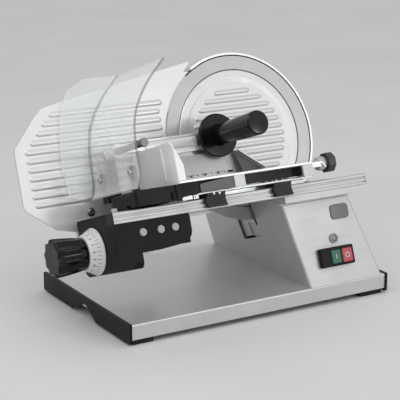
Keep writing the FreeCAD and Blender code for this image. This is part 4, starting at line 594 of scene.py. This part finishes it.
def knob_shell():
    """Hand knob: ten scallops that run out towards the dial, flat end with a small edge."""
    st = [(-30.2, 20.6, 0.0), (-30.6, 21.6, 0.0), (-32.0, 22.5, 0.0), (-35.0, 22.9, 0.5), (-39.0, 23.5, 1.6), (-44.0, 24.2, 2.2), (-52.0, 25.1, 2.6),
          (-60.0, 25.9, 2.9), (-68.0, 26.6, 3.1), (-73.4, 26.8, 3.2), (-75.2, 26.5, 3.2), (-76.2, 25.7, 3.1), (-76.55, 24.6, 2.9)]
    n = 180
    bm = bmesh.new()
    rings = []
    for x, r, d in st:
        ring = []
        for i in range(n):
            a = 2 * math.pi * i / n
            c = math.cos(5 * a)
            k = (math.sqrt(c * c + 0.05) - 0.2236) / 0.8011
            rr = r - d * k
            ring.append(bm.verts.new(S(x, KV + rr * math.cos(a), KU + rr * math.sin(a))))
        rings.append(ring)
    for a, b in zip(rings, rings[1:]):
        for i in range(n):
            bm.faces.new((a[i], a[(i + 1) % n], b[(i + 1) % n], b[i]))
    # slightly dished end and a flat back
    prev = rings[-1]
    for f, x in ((0.86, -76.6), (0.5, -76.35), (0.12, -76.2)):
        ring = []
        for i in range(n):
            a = 2 * math.pi * i / n
            c = math.cos(5 * a)
            k = (math.sqrt(c * c + 0.05) - 0.2236) / 0.8011
            rr = (24.6 - 2.9 * k) * f
            ring.append(bm.verts.new(S(x, KV + rr * math.cos(a), KU + rr * math.sin(a))))
        for i in range(n):
            bm.faces.new((prev[i], prev[(i + 1) % n], ring[(i + 1) % n], ring[i]))
        prev = ring
    bm.faces.new(prev)
    bm.faces.new(list(reversed(rings[0])))
    o = piece("knob_shell", bm, "black_soft", "thickness_control")
    for p in o.data.polygons:
        p.use_smooth = len(p.vertices) == 4
    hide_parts("thickness_knob")


knob_shell()


def button_marks():
    cu = (29.0 + 49.4) / 2
    bm = bmesh.new()
    block(bm, (-0.6, -10.12, -3.6), (0.6, -9.72, 3.6), lambda a, b, c: S((334.6 + 351.0) / 2 + a, b, cu + c))
    piece("start_mark", bm, "ink_white", "start_push")
    bm = bmesh.new()
    cx = (353.8 + 371.4) / 2
    n = 32
    rings = []
    for r, v in ((3.9, -9.72), (3.9, -10.12), (2.8, -10.12), (2.8, -9.72)):
        rings.append([bm.verts.new(S(cx + r * math.cos(2 * math.pi * i / n), v, cu + r * math.sin(2 * math.pi * i / n))) for i in range(n)])
    for j in range(4):
        a, b = rings[j], rings[(j + 1) % 4]
        for i in range(n):
            bm.faces.new((a[i], a[(i + 1) % n], b[(i + 1) % n], b[i]))
    piece("stop_mark", bm, "ink_white", "stop_push")


button_marks()


# ------------------------------------------------------------ camera, light
def camera():
    cd = bpy.data.cameras.new("camera")
    cd.sensor_width = 36.0
    cd.lens = 126.0
    cd.clip_start = 0.05
    cd.clip_end = 40
    co = bpy.data.objects.new("camera", cd)
    SC.collection.objects.link(co)
    r = Vector((0.85626708, -0.51653333, 0.0))
    u = Vector((0.13560344, 0.22479239, 0.96492491))
    d = Vector((0.49841588, 0.82623344, -0.26252602))
    m = Matrix((r, u, -d)).transposed().to_4x4()
    m.translation = Vector((-1.01051461, -1.71047625, 0.68632184))
    co.matrix_world = m
    SC.camera = co


camera()


def area(name, loc, target, size, energy, color=(1, 1, 1)):
    ld = bpy.data.lights.new(name, "AREA")
    ld.shape = "RECTANGLE"
    ld.size, ld.size_y = size
    ld.energy = energy
    ld.color = color
    lo = bpy.data.objects.new(name, ld)
    SC.collection.objects.link(lo)
    lo.location = loc
    lo.rotation_mode = "QUATERNION"
    lo.rotation_quaternion = (Vector(target) - Vector(loc)).to_track_quat("-Z", "Y")
    return lo


area("key_top", (-0.5, -0.9, 1.7), (0, 0, 0.15), (1.8, 1.4), 7)
area("front_right", (1.5, -2.4, 1.0), (0.05, 0, 0.2), (1.8, 1.4), 4.8)
area("fill_left", (-2.2, -0.3, 0.9), (0, 0, 0.15), (1.4, 1.0), 5.5)
# two small lamps that only show as streaks on glossy plastic
for lamp in (area("streak_top", (-1.2, -0.1, 2.0), (-0.05, -0.05, 0.2), (0.30, 0.30), 9.0),
             area("streak_front", (1.1, -2.0, 0.85), (-0.1, -0.05, 0.2), (0.26, 0.26), 4.0)):
    lamp.visible_diffuse = False

w = bpy.data.worlds.new("studio")
w.use_nodes = True
SC.world = w
nt = w.node_tree
bg = nt.nodes["Background"]
tc = nt.nodes.new("ShaderNodeTexCoord")
dp = nt.nodes.new("ShaderNodeVectorMath")
dp.operation = "DOT_PRODUCT"
dp.inputs[1].default_value = Vector((0.26, -0.16, 0.95)).normalized()
nt.links.new(tc.outputs["Generated"], dp.inputs[0])
mr = nt.nodes.new("ShaderNodeMapRange")
mr.inputs["From Min"].default_value = -1
nt.links.new(dp.outputs["Value"], mr.inputs["Value"])
rp = nt.nodes.new("ShaderNodeValToRGB")
nt.links.new(mr.outputs[0], rp.inputs[0])
els = rp.color_ramp.elements
els[0].position = 0.20
els[0].color = (0.42, 0.425, 0.43, 1)
els[1].position = 0.95
els[1].color = (1.0, 1.0, 1.0, 1)
e = els.new(0.60)
e.color = (0.66, 0.665, 0.67, 1)
nt.links.new(rp.outputs[0], bg.inputs[0])
bg.inputs[1].default_value = 0.80

SC.view_settings.view_transform = "Standard"
SC.view_settings.look = "None"


def floor():
    me = bpy.data.meshes.new("floor")
    bm = bmesh.new()
    bmesh.ops.create_grid(bm, x_segments=8, y_segments=8, size=6.0)
    bm.to_mesh(me)
    bm.free()
    o = bpy.data.objects.new("floor", me)
    SC.collection.objects.link(o)
    m = Mat("floor_paper")
    c = m.noise(m.mapping((3, 3, 3)), 1.0, 3.0, 0.5)
    g = m.noise(m.mapping((600, 600, 600)), 1.0, 2.0, 0.5)
    m.to(m.mix(m.range(c, 0.3, 0.7, 0, 1), (0.70, 0.70, 0.69), (0.74, 0.74, 0.735)), "Base Color")
    m.set(Roughness=0.85)
    m.to(m.bump(g, 0.05, 0.0002), "Normal")
    me.materials.append(m.m)


floor()
